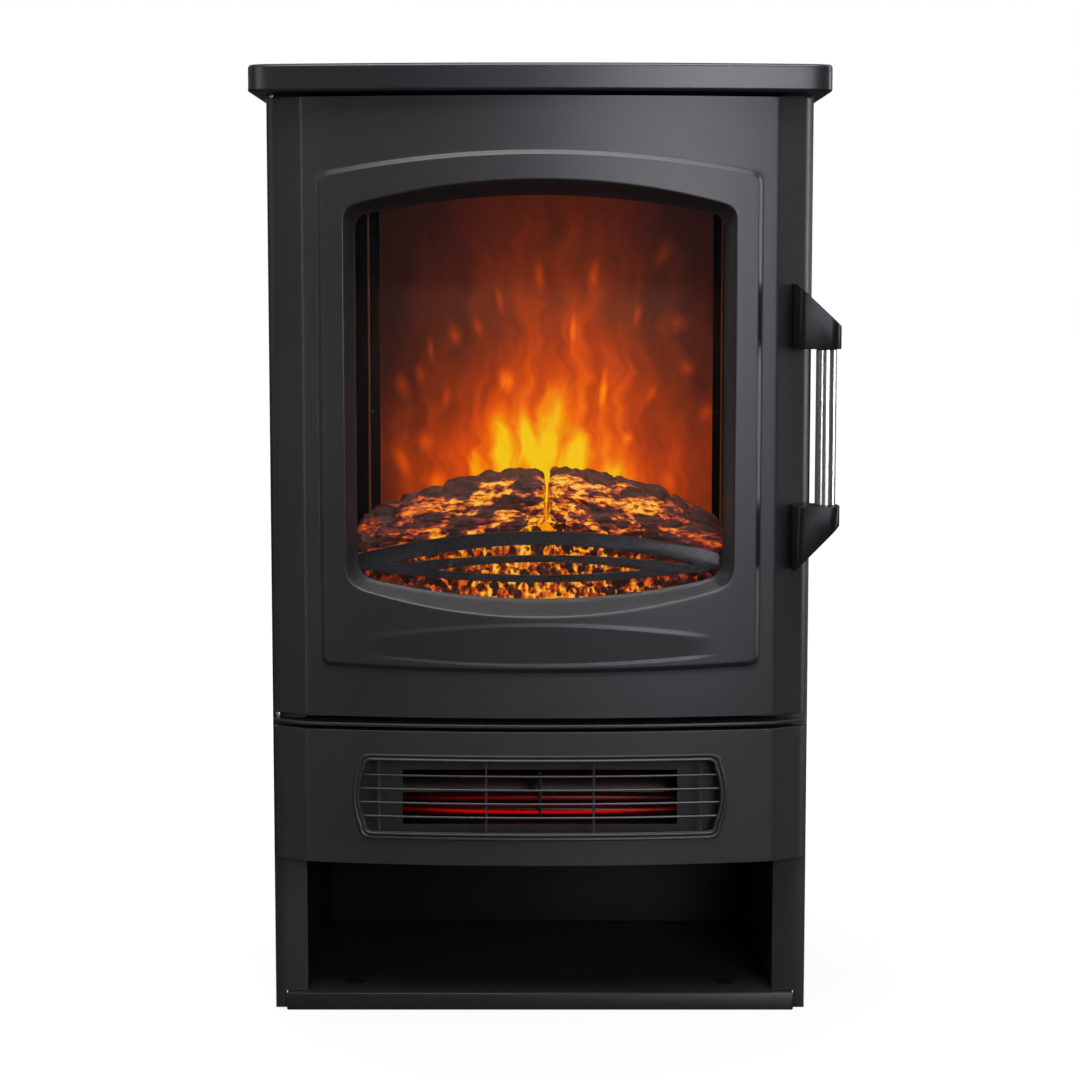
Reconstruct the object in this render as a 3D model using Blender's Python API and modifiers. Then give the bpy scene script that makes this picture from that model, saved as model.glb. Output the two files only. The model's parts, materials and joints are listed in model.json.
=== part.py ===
"""Electric fireplace shaped like a small stove. Metres, +Z up, front towards -Y.

The origin is the centre of the base board's underside. The door, the lower heater front and the rail between
them share one plan section: a bowed centre with a straight chamfer at each side.
"""

import math

import bmesh
import bpy
from mathutils import Matrix, Vector

# Body
HEIGHT = 0.850
BODY_HALF = 0.2417
FLANGE_Y = -0.125
REAR_Y = 0.130
SHEET = 0.001
GAP = 0.0003
FLANGE_WIDTH = 0.0297
REAR_RETURN = 0.015
SIDE_BOTTOM = 0.001

# Top slab
SLAB_HALF = 0.255
SLAB_THICKNESS = 0.024
SLAB_BOTTOM = HEIGHT - SLAB_THICKNESS
SLAB_FRONT_Y = FLANGE_Y - 0.053
SLAB_REAR_Y = 0.133
SLAB_BOW = 0.015
SLAB_BOW_HALF = 0.235

# Base board and storage niche
BOARD_HALF = 0.2313
BOARD_THICKNESS = 0.0163
BOARD_FRONT_Y = FLANGE_Y - 0.006
NICHE_HALF = 0.212
NICHE_TOP = 0.1428
NICHE_BACK_Y = 0.123
CAP_X = 0.1717
CAP_Y = FLANGE_Y + 0.030
CAP_RADIUS = 0.009

# Rear panel
VENT_BANK_Z = (0.30, 0.62)
VENT_ROWS = 8
VENT_PITCH = 0.014
VENT_LENGTH = 0.070
VENT_HEIGHT = 0.0038
VENT_COLUMN_X = (-0.115, -0.035, 0.045)
GLAND_X = 0.170
GLAND_Z = 0.170

# Plan section shared by the door, the rail and the heater front
FASCIA_HALF = 0.2395
EDGE_DEPTH = 0.0065
CHAMFER_X = 0.209
CHAMFER_DEPTH = 0.024
BOW_CENTRE = 0.043
BOW_RISE = BOW_CENTRE - CHAMFER_DEPTH
BOW_STEPS = 20

# Door
DOOR_BOTTOM = 0.2763
DOOR_TOP = 0.823
DOOR_WALL = 0.0025
DOOR_REAR_Y = FLANGE_Y - 0.002
PIVOT_X = -0.236
PIVOT_Y = FLANGE_Y - 0.0048
PIN_RADIUS = 0.00125
PIN_CLEARANCE = 0.00025
RELIEF_HEIGHT = 0.003
WINDOW_FRAME_REAR_Y = FLANGE_Y - 0.0128
BEVEL_FRONT_Y = FLANGE_Y - 0.046
GLASS_THICKNESS = 0.004

# Rail and heater front
RAIL_BOTTOM = 0.2671
RAIL_TOP = 0.2703
HEATER_BOTTOM = NICHE_TOP
HEATER_TOP = 0.2639
HEATER_WALL = 0.0015
GRILLE_Z = 0.2046
GRILLE_HALF_HEIGHT = 0.03175
GRILLE_HALF = 0.1555
GRILLE_BULGE = 0.0060
BEZEL_WIDTH = 0.0070
BEZEL_HEIGHT = 0.0025
WIRE_RADIUS = 0.0011
WIRE_SPACING = 0.0125
WIRE_X = (-0.144, -0.048, 0.048, 0.144)

# Heater behind the grille
BAFFLE_Y = FLANGE_Y - 0.010
REFLECTOR_HALF = 0.124
REFLECTOR_BOTTOM = 0.174
REFLECTOR_TOP = 0.224
REFLECTOR_DEPTH = 0.050
BAFFLE_HALF = 0.190
BAFFLE_BOTTOM = 0.150
BAFFLE_TOP = 0.260
TUBE_RADIUS = 0.0048
TUBE_HALF = 0.128
TUBE_Y = FLANGE_Y + 0.012
TUBE_Z = {"quartz_tube_upper": 0.1941, "quartz_tube_lower": 0.1827}
BORE_LENGTH = 0.030

# Firebox
BOX_HALF = 0.176
BOX_TOP = 0.762
BOX_FLOOR = 0.374
BOX_REAR_Y = FLANGE_Y + 0.150
SCREEN_Y = FLANGE_Y + 0.060
SCREEN_HALF = 0.172
CLAMP_INNER_X = {"screen_clamp_left": 0.1465, "screen_clamp_right": 0.158}
FLOOR_TOP = BOX_FLOOR + 0.0015
GRATE_Y = FLANGE_Y + 0.005
SPINNER_Y = FLANGE_Y + 0.105
SPINNER_Z = 0.420
SPINNER_RADIUS = 0.022
ROD_RADIUS = 0.0025
FLAG_COUNT = 8
FLAG_REACH = 0.140
FLAG_TURN = math.radians(55)
MOTOR_X = BOX_HALF + 0.0125
MOTOR_LENGTH = 0.018
LOG_Y = FLANGE_Y + 0.040
LOG_FRONT_Y = FLANGE_Y + 0.020
LOG_MEETING_Z = 0.464
LOG_END_Z = 0.429
LOG_FRONT_MEETING_Z = 0.426
LOG_FRONT_END_Z = 0.412
EMBER_CREST_Z = 0.404

# Controls behind the door, under the window
CONTROL_Z = 0.322
ROCKER_X = {"rocker_flame": 0.030, "rocker_low_heat": 0.056, "rocker_high_heat": 0.082}
ROCKER_TILT = math.radians(8)
ROCKER_HALF = 0.0092
ROCKER_WIDTH = 0.0116
ROCKER_PIVOT_Y = FLANGE_Y + 0.004
ROCKER_SLOT_SIDE = 0.0005
ROCKER_SLOT_END = 0.0018
KNOB_X = -0.060
KNOB_RADIUS = 0.014
KNOB_DEPTH = 0.015
KNOB_REST = math.radians(-135)
PANEL_SHEET = 0.0015

# Handle
BAR_X = 0.2515
BAR_Y = FLANGE_Y - 0.0345
BAR_RADIUS = 0.0091
BRACKET_FRONT_Y = FLANGE_Y - 0.051
BRACKET_LEFT_X = 0.2235
BRACKET_RIGHT_X = 0.2640
BAR_BOTTOM = 0.4657
BAR_TOP = 0.6036
BRACKET_LOWER_Z = 0.4080
BRACKET_UPPER_Z = 0.6605
MAGNET_BOTTOM = 0.530
MAGNET_TOP = 0.570
RETAINER_BOTTOM = 0.44
RETAINER_TOP = 0.68


def clear_scene():
    for old in list(bpy.data.objects):
        bpy.data.objects.remove(old, do_unlink=True)


def make_collection(name):
    made = bpy.data.collections.new(name)
    bpy.context.scene.collection.children.link(made)
    return made


def make_finish(name, colour, roughness, metallic=0.0):
    finish = bpy.data.materials.new(name)
    finish.use_nodes = True
    shader = finish.node_tree.nodes["Principled BSDF"]
    shader.inputs["Base Color"].default_value = (*colour, 1.0)
    shader.inputs["Roughness"].default_value = roughness
    shader.inputs["Metallic"].default_value = metallic
    return finish


clear_scene()
PARTS = make_collection("electric_fireplace")
HELPERS = make_collection("cutters")

POWDER_COAT = make_finish("powder_coat", (0.045, 0.045, 0.050), 0.55)
DARK_SHEET = make_finish("dark_sheet", (0.012, 0.012, 0.013), 0.6)
GREY_SHEET = make_finish("galvanised_sheet", (0.45, 0.46, 0.47), 0.4, 1.0)
BOARD_BLACK = make_finish("board_black", (0.030, 0.030, 0.033), 0.6)
BLACK_PLASTIC = make_finish("black_plastic", (0.020, 0.020, 0.022), 0.45)
BRIGHT_STEEL = make_finish("bright_steel", (0.80, 0.80, 0.82), 0.12, 1.0)
ZINC = make_finish("zinc_steel", (0.55, 0.55, 0.57), 0.35, 1.0)
CLEAR_GLASS = make_finish("clear_glass", (0.9, 0.9, 0.9), 0.05)
QUARTZ = make_finish("quartz_glass", (0.75, 0.12, 0.05), 0.1)
CERAMIC = make_finish("ceramic", (0.80, 0.78, 0.72), 0.6)
RESIN = make_finish("ember_resin", (0.45, 0.09, 0.02), 0.8)
LOG_RESIN = make_finish("log_resin", (0.060, 0.040, 0.030), 0.9)
SCREEN = make_finish("flame_screen", (0.60, 0.15, 0.03), 0.3)
BOARD_GREEN = make_finish("circuit_board", (0.03, 0.16, 0.07), 0.5)
REFLECTOR = make_finish("reflector_aluminium", (0.85, 0.82, 0.74), 0.25, 1.0)


def add(name, mesh, finish, collection=PARTS):
    mesh.materials.append(finish)
    made = bpy.data.objects.new(name, mesh)
    collection.objects.link(made)
    if collection is HELPERS:
        made.hide_render = True
        made.display_type = "WIRE"
    return made


def box(name, low, high, finish, collection=PARTS, bevel=0.0):
    """A block between two corners."""
    low, high = Vector(low), Vector(high)
    shape = bmesh.new()
    bmesh.ops.create_cube(shape, size=1.0)
    bmesh.ops.scale(shape, vec=high - low, verts=shape.verts)
    mesh = bpy.data.meshes.new(name)
    shape.to_mesh(mesh)
    shape.free()
    made = add(name, mesh, finish, collection)
    made.location = (low + high) / 2
    if bevel:
        round_edges(made, bevel)
    return made


def round_edges(target, width, segments=2, angle=30):
    bevel = target.modifiers.new("round_edges", "BEVEL")
    bevel.width = width
    bevel.segments = segments
    bevel.limit_method = "ANGLE"
    bevel.angle_limit = math.radians(angle)


AXIS_TURN = {
    "X": Matrix.Rotation(math.radians(90), 4, "Y"),
    "Y": Matrix.Rotation(math.radians(90), 4, "X"),
    "Z": Matrix.Identity(4),
}


def cylinder(name, centre, radius, length, axis, finish, collection=PARTS, sides=24):
    shape = bmesh.new()
    bmesh.ops.create_cone(shape, cap_ends=True, segments=sides, radius1=radius, radius2=radius, depth=length)
    bmesh.ops.transform(shape, matrix=AXIS_TURN[axis], verts=shape.verts)
    mesh = bpy.data.meshes.new(name)
    shape.to_mesh(mesh)
    shape.free()
    mesh.shade_smooth()
    mesh.set_sharp_from_angle(angle=math.radians(40))
    made = add(name, mesh, finish, collection)
    made.location = centre
    return made


def curve_to_mesh(curve_object, name, finish, collection):
    """Replaces a curve object with its mesh, with the caps welded on."""
    bpy.context.view_layer.update()
    graph = bpy.context.evaluated_depsgraph_get()
    mesh = bpy.data.meshes.new_from_object(curve_object.evaluated_get(graph))
    place = curve_object.matrix_world.copy()
    curve = curve_object.data
    bpy.data.objects.remove(curve_object, do_unlink=True)
    bpy.data.curves.remove(curve)
    shape = bmesh.new()
    shape.from_mesh(mesh)
    bmesh.ops.remove_doubles(shape, verts=shape.verts, dist=0.00001)
    bmesh.ops.recalc_face_normals(shape, faces=shape.faces)
    shape.to_mesh(mesh)
    shape.free()
    mesh.name = name
    mesh.materials.clear()
    made = add(name, mesh, finish, collection)
    made.matrix_world = place
    return made


def plate(name, outline, thickness, finish, collection=PARTS, holes=()):
    """Flat plate of closed outlines, in the object's own XY plane, with its thickness centred on z."""
    curve = bpy.data.curves.new(name, "CURVE")
    curve.dimensions = "2D"
    curve.fill_mode = "BOTH"
    curve.extrude = thickness / 2
    for points in (outline, *holes):
        spline = curve.splines.new("POLY")
        spline.points.add(len(points) - 1)
        for point, (x, y) in zip(spline.points, points):
            point.co = (x, y, 0.0, 1.0)
        spline.use_cyclic_u = True
    guide = bpy.data.objects.new(name + "_curve", curve)
    HELPERS.objects.link(guide)
    return curve_to_mesh(guide, name, finish, collection)


def flat_plate(name, outline, low_z, high_z, finish, collection=PARTS, holes=()):
    """Plate whose outline is drawn in plan, x and y."""
    made = plate(name, outline, high_z - low_z, finish, collection, holes)
    made.location = (0, 0, (low_z + high_z) / 2)
    return made


def upright_plate(name, outline, front_y, rear_y, finish, collection=PARTS, holes=()):
    """Plate whose outline is drawn in elevation, x and z."""
    made = plate(name, outline, rear_y - front_y, finish, collection, holes)
    made.rotation_euler = (math.radians(90), 0, 0)
    made.location = (0, (front_y + rear_y) / 2, 0)
    return made


def side_plate(name, outline, low_x, high_x, finish, collection=PARTS):
    """Plate whose outline is drawn from the side, y and z."""
    made = plate(name, outline, high_x - low_x, finish, collection)
    made.rotation_euler = (math.radians(90), 0, math.radians(90))
    made.location = ((low_x + high_x) / 2, 0, 0)
    return made


def folded_sheet(name, path, along, thickness, finish, collection=PARTS):
    """Sheet folded along a path and drawn out by a vector. The thickness grows to the path's left."""
    along = Vector(along)
    shape = bmesh.new()
    near = [shape.verts.new(Vector(point)) for point in path]
    far = [shape.verts.new(Vector(point) + along) for point in path]
    for i in range(len(path) - 1):
        shape.faces.new((near[i], near[i + 1], far[i + 1], far[i]))
    mesh = bpy.data.meshes.new(name)
    shape.to_mesh(mesh)
    shape.free()
    made = add(name, mesh, finish, collection)
    solid = made.modifiers.new("thickness", "SOLIDIFY")
    solid.thickness = thickness
    solid.offset = -1.0
    solid.use_even_offset = True
    return made


def wire(name, points, radius, finish, collection=PARTS, sides_level=1):
    """Round wire or rod through the points, with filled ends."""
    curve = bpy.data.curves.new(name, "CURVE")
    curve.dimensions = "3D"
    curve.bevel_depth = radius
    curve.bevel_resolution = sides_level
    curve.use_fill_caps = True
    spline = curve.splines.new("POLY")
    spline.points.add(len(points) - 1)
    for point, place in zip(spline.points, points):
        point.co = (*place, 1.0)
    guide = bpy.data.objects.new(name + "_curve", curve)
    HELPERS.objects.link(guide)
    return curve_to_mesh(guide, name, finish, collection)


def turned(name, profile, centre, axis, finish, collection=PARTS, steps=32):
    """Turned piece: (radius, height) pairs from top to bottom, about an axis through the centre."""
    shape = bmesh.new()
    points = [shape.verts.new((radius, 0, height)) for radius, height in profile]
    for first, second in zip(points, points[1:]):
        shape.edges.new((first, second))
    mesh = bpy.data.meshes.new(name)
    shape.to_mesh(mesh)
    shape.free()
    made = add(name, mesh, finish, collection)
    screw = made.modifiers.new("turn", "SCREW")
    screw.steps = steps
    screw.render_steps = steps
    screw.use_merge_vertices = True
    screw.merge_threshold = 0.00001
    made.matrix_world = Matrix.Translation(centre) @ AXIS_TURN[axis]
    return made


def boolean(target, other, operation):
    step = target.modifiers.new(operation.lower(), "BOOLEAN")
    step.operation = operation
    step.solver = "EXACT"
    step.object = other


def cut(target, *others):
    for other in others:
        boolean(target, other, "DIFFERENCE")


def join(target, *others):
    for other in others:
        boolean(target, other, "UNION")


def keep_common(target, other):
    boolean(target, other, "INTERSECT")


def fascia_y(x):
    """Outer surface of the shared plan section."""
    side = abs(x)
    if side <= CHAMFER_X:
        return FLANGE_Y - BOW_CENTRE + BOW_RISE * (side / CHAMFER_X) ** 2
    share = (side - CHAMFER_X) / (FASCIA_HALF - CHAMFER_X)
    return FLANGE_Y - CHAMFER_DEPTH + share * (CHAMFER_DEPTH - EDGE_DEPTH)


def fascia_front(half=FASCIA_HALF, offset=0.0, steps=BOW_STEPS):
    """Points of the section's outer surface from left to right, moved back by an offset."""
    bow_half = min(half, CHAMFER_X)
    points = [(x, fascia_y(x) + offset) for x in spread(-bow_half, bow_half, steps)]
    if half > CHAMFER_X:
        points = [(-half, fascia_y(half) + offset), *points, (half, fascia_y(half) + offset)]
    return points


def spread(low, high, steps):
    return [low + (high - low) * i / steps for i in range(steps + 1)]


def circle(centre_x, centre_y, radius, steps=20):
    angles = [2 * math.pi * i / steps for i in range(steps)]
    return [(centre_x + radius * math.cos(a), centre_y + radius * math.sin(a)) for a in angles]


def rectangle(low_x, low_y, high_x, high_y):
    return [(low_x, low_y), (high_x, low_y), (high_x, high_y), (low_x, high_y)]


def corner_arc(start, corner, end, steps):
    """Rounded corner: a curve from start to end that leaves along the lines to the corner."""
    start, corner, end = Vector(start), Vector(corner), Vector(end)
    points = []
    for i in range(steps + 1):
        t = i / steps
        points.append(tuple((1 - t) ** 2 * start + 2 * t * (1 - t) * corner + t * t * end))
    return points


def arched_outline(half, crown, corner_top, corner_bottom, foot, radius, steps=10):
    """Window shape: arched top, sagging bottom, straight sides and rounded corners, anticlockwise."""
    corner = half, corner_bottom

    def top(x):
        return crown - (crown - corner_top) * (x / half) ** 2

    def bottom(x):
        return foot + (corner_bottom - foot) * (x / half) ** 2

    inner = half - radius
    points = [(x, bottom(x)) for x in spread(-inner, inner, steps)][:-1]
    points += corner_arc((inner, bottom(inner)), corner, (half, corner_bottom + radius), 4)
    points += corner_arc((half, corner_top - radius), (half, corner_top), (inner, top(inner)), 4)
    points += [(x, top(x)) for x in spread(inner, -inner, steps)][1:-1]
    points += corner_arc((-inner, top(inner)), (-half, corner_top), (-half, corner_top - radius), 4)
    corner = -half, corner_bottom
    points += corner_arc((-half, corner_bottom + radius), corner, (-inner, bottom(inner)), 4)
    return points[:-1]


WINDOW_INNER = dict(half=0.163, crown=0.7381, corner_top=0.7196, corner_bottom=0.4005, foot=0.3800,
                    radius=0.016)
WINDOW_OUTER = dict(half=0.1778, crown=0.7502, corner_top=0.7307, corner_bottom=0.3915, foot=0.3677,
                    radius=0.020)
RELIEF = dict(half=0.1916, crown=0.7725, corner_top=0.7534, corner_bottom=0.3256, foot=0.3210, radius=0.006)


def grown(shape, by):
    """The same window shape, larger all round by a distance."""
    return {
        "half": shape["half"] + by,
        "crown": shape["crown"] + by,
        "corner_top": shape["corner_top"] + by,
        "corner_bottom": shape["corner_bottom"] - by,
        "foot": shape["foot"] - by,
        "radius": shape["radius"] + by,
    }


def loft(name, sections, finish, collection=PARTS):
    """Closed skin through sections with equal point counts, each a list of (x, y, z), anticlockwise seen
    from the first section's side."""
    shape = bmesh.new()
    rings = [[shape.verts.new(point) for point in section] for section in sections]
    count = len(rings[0])
    shape.faces.new(rings[0])
    shape.faces.new(rings[-1][::-1])
    for near, far in zip(rings, rings[1:]):
        for i in range(count):
            j = (i + 1) % count
            shape.faces.new((near[i], far[i], far[j], near[j]))
    bmesh.ops.recalc_face_normals(shape, faces=shape.faces)
    mesh = bpy.data.meshes.new(name)
    shape.to_mesh(mesh)
    shape.free()
    return add(name, mesh, finish, collection)


# ---- body ----


def make_top_plate():
    """Slab with a bowed front and soft front corners."""
    edge_y = SLAB_FRONT_Y + SLAB_BOW
    front = [(x, SLAB_FRONT_Y + SLAB_BOW * (x / SLAB_BOW_HALF) ** 2)
             for x in spread(-SLAB_BOW_HALF, SLAB_BOW_HALF, BOW_STEPS)]
    corner_y = edge_y + 0.013
    right = corner_arc((SLAB_BOW_HALF, edge_y), (SLAB_HALF, edge_y + 0.003), (SLAB_HALF, corner_y), 5)
    left = [(-x, y) for x, y in reversed(right)]
    outline = [*left[:-1], *front, *right[1:], (SLAB_HALF, SLAB_REAR_Y), (-SLAB_HALF, SLAB_REAR_Y)]
    slab = flat_plate("top_plate", outline, SLAB_BOTTOM, HEIGHT, POWDER_COAT)
    round_edges(slab, 0.0035, angle=60)


def make_side_panels():
    """Steel sides, folded in at the front and the rear, with the front fold cut away round the board."""
    top = SLAB_BOTTOM - GAP
    for side, name in ((-1, "side_panel_left"), (1, "side_panel_right")):
        inner = side * (BODY_HALF - FLANGE_WIDTH)
        outer = side * BODY_HALF
        path = [(inner, FLANGE_Y, SIDE_BOTTOM), (outer, FLANGE_Y, SIDE_BOTTOM), (outer, REAR_Y, SIDE_BOTTOM),
                (outer - side * REAR_RETURN, REAR_Y, SIDE_BOTTOM)]
        if side < 0:
            path.reverse()
        panel = folded_sheet(name, path, (0, 0, top - SIDE_BOTTOM), SHEET, POWDER_COAT)
        notch_inner, notch_outer = sorted((side * 0.205, side * (BOARD_HALF + GAP)))
        notch = box(name + "_notch", (notch_inner, FLANGE_Y - 0.02, -0.01),
                    (notch_outer, FLANGE_Y + 0.02, BOARD_THICKNESS + GAP), DARK_SHEET, HELPERS)
        cut(panel, notch)


def make_base():
    board = box("base_board", (-BOARD_HALF, BOARD_FRONT_Y, 0),
                (BOARD_HALF, NICHE_BACK_Y + 0.004, BOARD_THICKNESS), BOARD_BLACK)
    round_edges(board, 0.0008, segments=1)
    for side, name in ((-1, "floor_cap_left"), (1, "floor_cap_right")):
        dome = [(0, 0.0020), (0.4 * CAP_RADIUS, 0.0018), (0.75 * CAP_RADIUS, 0.0012), (CAP_RADIUS, 0.0003),
                (CAP_RADIUS, 0), (0, 0)]
        turned(name, dome, (side * CAP_X, CAP_Y, BOARD_THICKNESS + GAP), "Z", BLACK_PLASTIC, steps=20)


def make_niche():
    foot = BOARD_THICKNESS + GAP
    ceiling = NICHE_TOP - GAP - SHEET
    front = FLANGE_Y + SHEET + GAP
    path = [(NICHE_HALF, front, foot), (NICHE_HALF, front, ceiling), (-NICHE_HALF, front, ceiling),
            (-NICHE_HALF, front, foot)]
    folded_sheet("niche_liner", path, (0, NICHE_BACK_Y - GAP - front, 0), SHEET, DARK_SHEET)
    box("niche_back_wall", (-NICHE_HALF, NICHE_BACK_Y, foot), (NICHE_HALF, NICHE_BACK_Y + SHEET, ceiling),
        DARK_SHEET)


def make_rear():
    """Rear panel between the side folds, with two banks of vent slots and a hole for the gland."""
    half = BODY_HALF - SHEET - GAP
    inner_y = REAR_Y - SHEET - GAP
    slots = []
    for low_z in VENT_BANK_Z:
        for row in range(VENT_ROWS):
            z = low_z + VENT_PITCH * row
            for x in VENT_COLUMN_X:
                slots.append(rectangle(x, z, x + VENT_LENGTH, z + VENT_HEIGHT))
    gland_hole = circle(GLAND_X, GLAND_Z, 0.0075)
    outline = rectangle(-half, 0.002, half, SLAB_BOTTOM - GAP)
    upright_plate("rear_panel", outline, inner_y - SHEET, inner_y, POWDER_COAT, holes=(*slots, gland_hole))
    profile = [(0, 0.011), (0.0045, 0.011), (0.0050, 0.003), (0.0100, 0.003), (0.0100, GAP), (0.0070, GAP),
               (0.0070, -0.006), (0, -0.006)]
    outward = Matrix.Rotation(math.radians(-90), 4, "X")
    gland = turned("cable_gland", profile, (0, 0, 0), "Z", BLACK_PLASTIC, steps=24)
    gland.matrix_world = Matrix.Translation((GLAND_X, inner_y, GLAND_Z)) @ outward


# ---- heater ----


def section_shell(name, low_z, high_z, rear_y, wall, finish, collection=PARTS):
    """Thin wall along the shared plan section, with a lid at its top and bottom."""
    front = fascia_front()
    path = [(-FASCIA_HALF, rear_y), *front, (FASCIA_HALF, rear_y)]
    path = [(x, y, low_z) for x, y in path]
    shell = folded_sheet(name, path, (0, 0, high_z - low_z), wall, finish, collection)
    inset = 0.0006
    inner = [(x * (FASCIA_HALF - inset) / FASCIA_HALF, y + inset) for x, y in front]
    outline = [*inner, (inner[-1][0], rear_y), (inner[0][0], rear_y)]
    bottom = flat_plate(name + "_bottom_lid", outline, low_z, low_z + wall, finish, HELPERS)
    top = flat_plate(name + "_top_lid", outline, high_z - wall, high_z, finish, HELPERS)
    join(shell, bottom, top)
    return shell


def grille_outline(grow=0.0, steps=8):
    """Long opening with bulging ends and small corner curves, in x and z."""
    half = GRILLE_HALF + grow
    rise = GRILLE_HALF_HEIGHT + grow
    end = [(half + GRILLE_BULGE * (1 - t * t), GRILLE_Z + rise * t * 0.90) for t in spread(-1, 1, steps)]
    lead = 0.008
    right = [(half - lead, GRILLE_Z - rise), (half - 0.3 * lead, GRILLE_Z - 0.985 * rise), *end,
             (half - 0.3 * lead, GRILLE_Z + 0.985 * rise), (half - lead, GRILLE_Z + rise)]
    left = [(-x, 2 * GRILLE_Z - z) for x, z in right]
    return right + left


def bow_band(name, half, front_offset, rear_offset, low_z, high_z):
    """Helper solid that follows the bowed front between two depths."""
    front = fascia_front(half, front_offset)
    rear = fascia_front(half, rear_offset)
    return flat_plate(name, front + rear[::-1], low_z, high_z, DARK_SHEET, HELPERS)


def make_heater_front():
    fascia = section_shell("heater_fascia", HEATER_BOTTOM, HEATER_TOP, FLANGE_Y - GAP, HEATER_WALL,
                           POWDER_COAT)
    hole = upright_plate("grille_hole", grille_outline(), FLANGE_Y - 0.08, FLANGE_Y - 0.02, DARK_SHEET,
                         HELPERS)
    cut(fascia, hole)
    bezel = upright_plate("heater_bezel", grille_outline(BEZEL_WIDTH), FLANGE_Y - 0.08, FLANGE_Y - 0.02,
                          POWDER_COAT, holes=(grille_outline(0.0005),))
    band = bow_band("bezel_band", 0.20, -BEZEL_HEIGHT - GAP, -GAP, 0.15, 0.26)
    keep_common(bezel, band)
    rail = [(x, y + GAP) for x, y in fascia_front()]
    flat_plate("mid_rail", [*rail, (FASCIA_HALF, FLANGE_Y - GAP), (-FASCIA_HALF, FLANGE_Y - GAP)],
               RAIL_BOTTOM, RAIL_TOP, POWDER_COAT)


def make_grille():
    """Four bowed wires across, welded to four upright wires behind them."""
    behind = HEATER_WALL + GAP + WIRE_RADIUS
    reach = GRILLE_HALF + GRILLE_BULGE + 0.005
    rows = []
    for i in range(4):
        z = GRILLE_Z + (i - 1.5) * WIRE_SPACING
        points = [(x, fascia_y(x) + behind, z) for x in spread(-reach, reach, 14)]
        name = "heater_grille" if i == 0 else f"grille_row_{i}"
        rows.append(wire(name, points, WIRE_RADIUS, BLACK_PLASTIC, PARTS if i == 0 else HELPERS))
    for i, x in enumerate(WIRE_X):
        y = fascia_y(x) + behind + 1.5 * WIRE_RADIUS
        reach_z = GRILLE_HALF_HEIGHT + 0.006
        upright = wire(f"grille_column_{i}", [(x, y, GRILLE_Z - reach_z), (x, y, GRILLE_Z + reach_z)],
                       WIRE_RADIUS, BLACK_PLASTIC, HELPERS)
        join(rows[0], upright)
    join(rows[0], *rows[1:])


def make_heater():
    """Two quartz tubes in a bright trough behind a dark baffle, held by ceramic ends and a middle plate."""
    hole = rectangle(-REFLECTOR_HALF, REFLECTOR_BOTTOM, REFLECTOR_HALF, REFLECTOR_TOP)
    outline = rectangle(-BAFFLE_HALF, BAFFLE_BOTTOM, BAFFLE_HALF, BAFFLE_TOP)
    upright_plate("heater_baffle", outline, BAFFLE_Y, BAFFLE_Y + SHEET, DARK_SHEET, holes=(hole,))

    front = BAFFLE_Y + SHEET + GAP
    middle_z = (REFLECTOR_BOTTOM + REFLECTOR_TOP) / 2
    half_height = (REFLECTOR_TOP - REFLECTOR_BOTTOM) / 2 + 0.001
    reach = TUBE_HALF + 0.004
    steps = 12
    trough = [(-reach, front, middle_z + half_height)]
    for i in range(1, steps):
        angle = math.pi * i / steps
        depth = REFLECTOR_DEPTH * math.sin(angle) ** 0.7
        trough.append((-reach, front + depth, middle_z + half_height * math.cos(angle)))
    trough.append((-reach, front, middle_z - half_height))
    folded_sheet("heater_reflector", trough, (2 * reach, 0, 0), 0.0008, REFLECTOR)

    for name, z in TUBE_Z.items():
        cylinder(name, (0, TUBE_Y, z), TUBE_RADIUS, 2 * (TUBE_HALF + 0.014), "X", QUARTZ, sides=16)
    for side, name in ((-1, "tube_holder_left"), (1, "tube_holder_right")):
        inner, outer = sorted((side * (TUBE_HALF + 0.005), side * (TUBE_HALF + 0.011)))
        holder = box(name, (inner, front + 0.001, REFLECTOR_BOTTOM - 0.002),
                     (outer, front + 0.045, REFLECTOR_TOP + 0.002), CERAMIC)
        cut_tube_bores(holder, (inner + outer) / 2)
    support = box("tube_support", (-0.0015, front + 0.004, REFLECTOR_BOTTOM + 0.0025),
                  (0.0015, front + 0.027, REFLECTOR_TOP - 0.003), ZINC)
    cut_tube_bores(support, 0)


def cut_tube_bores(target, x):
    for z in TUBE_Z.values():
        bore = cylinder(target.name + "_bore", (x, TUBE_Y, z), TUBE_RADIUS + GAP, BORE_LENGTH, "X", CERAMIC,
                        HELPERS, 16)
        cut(target, bore)


# ---- firebox ----


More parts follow.
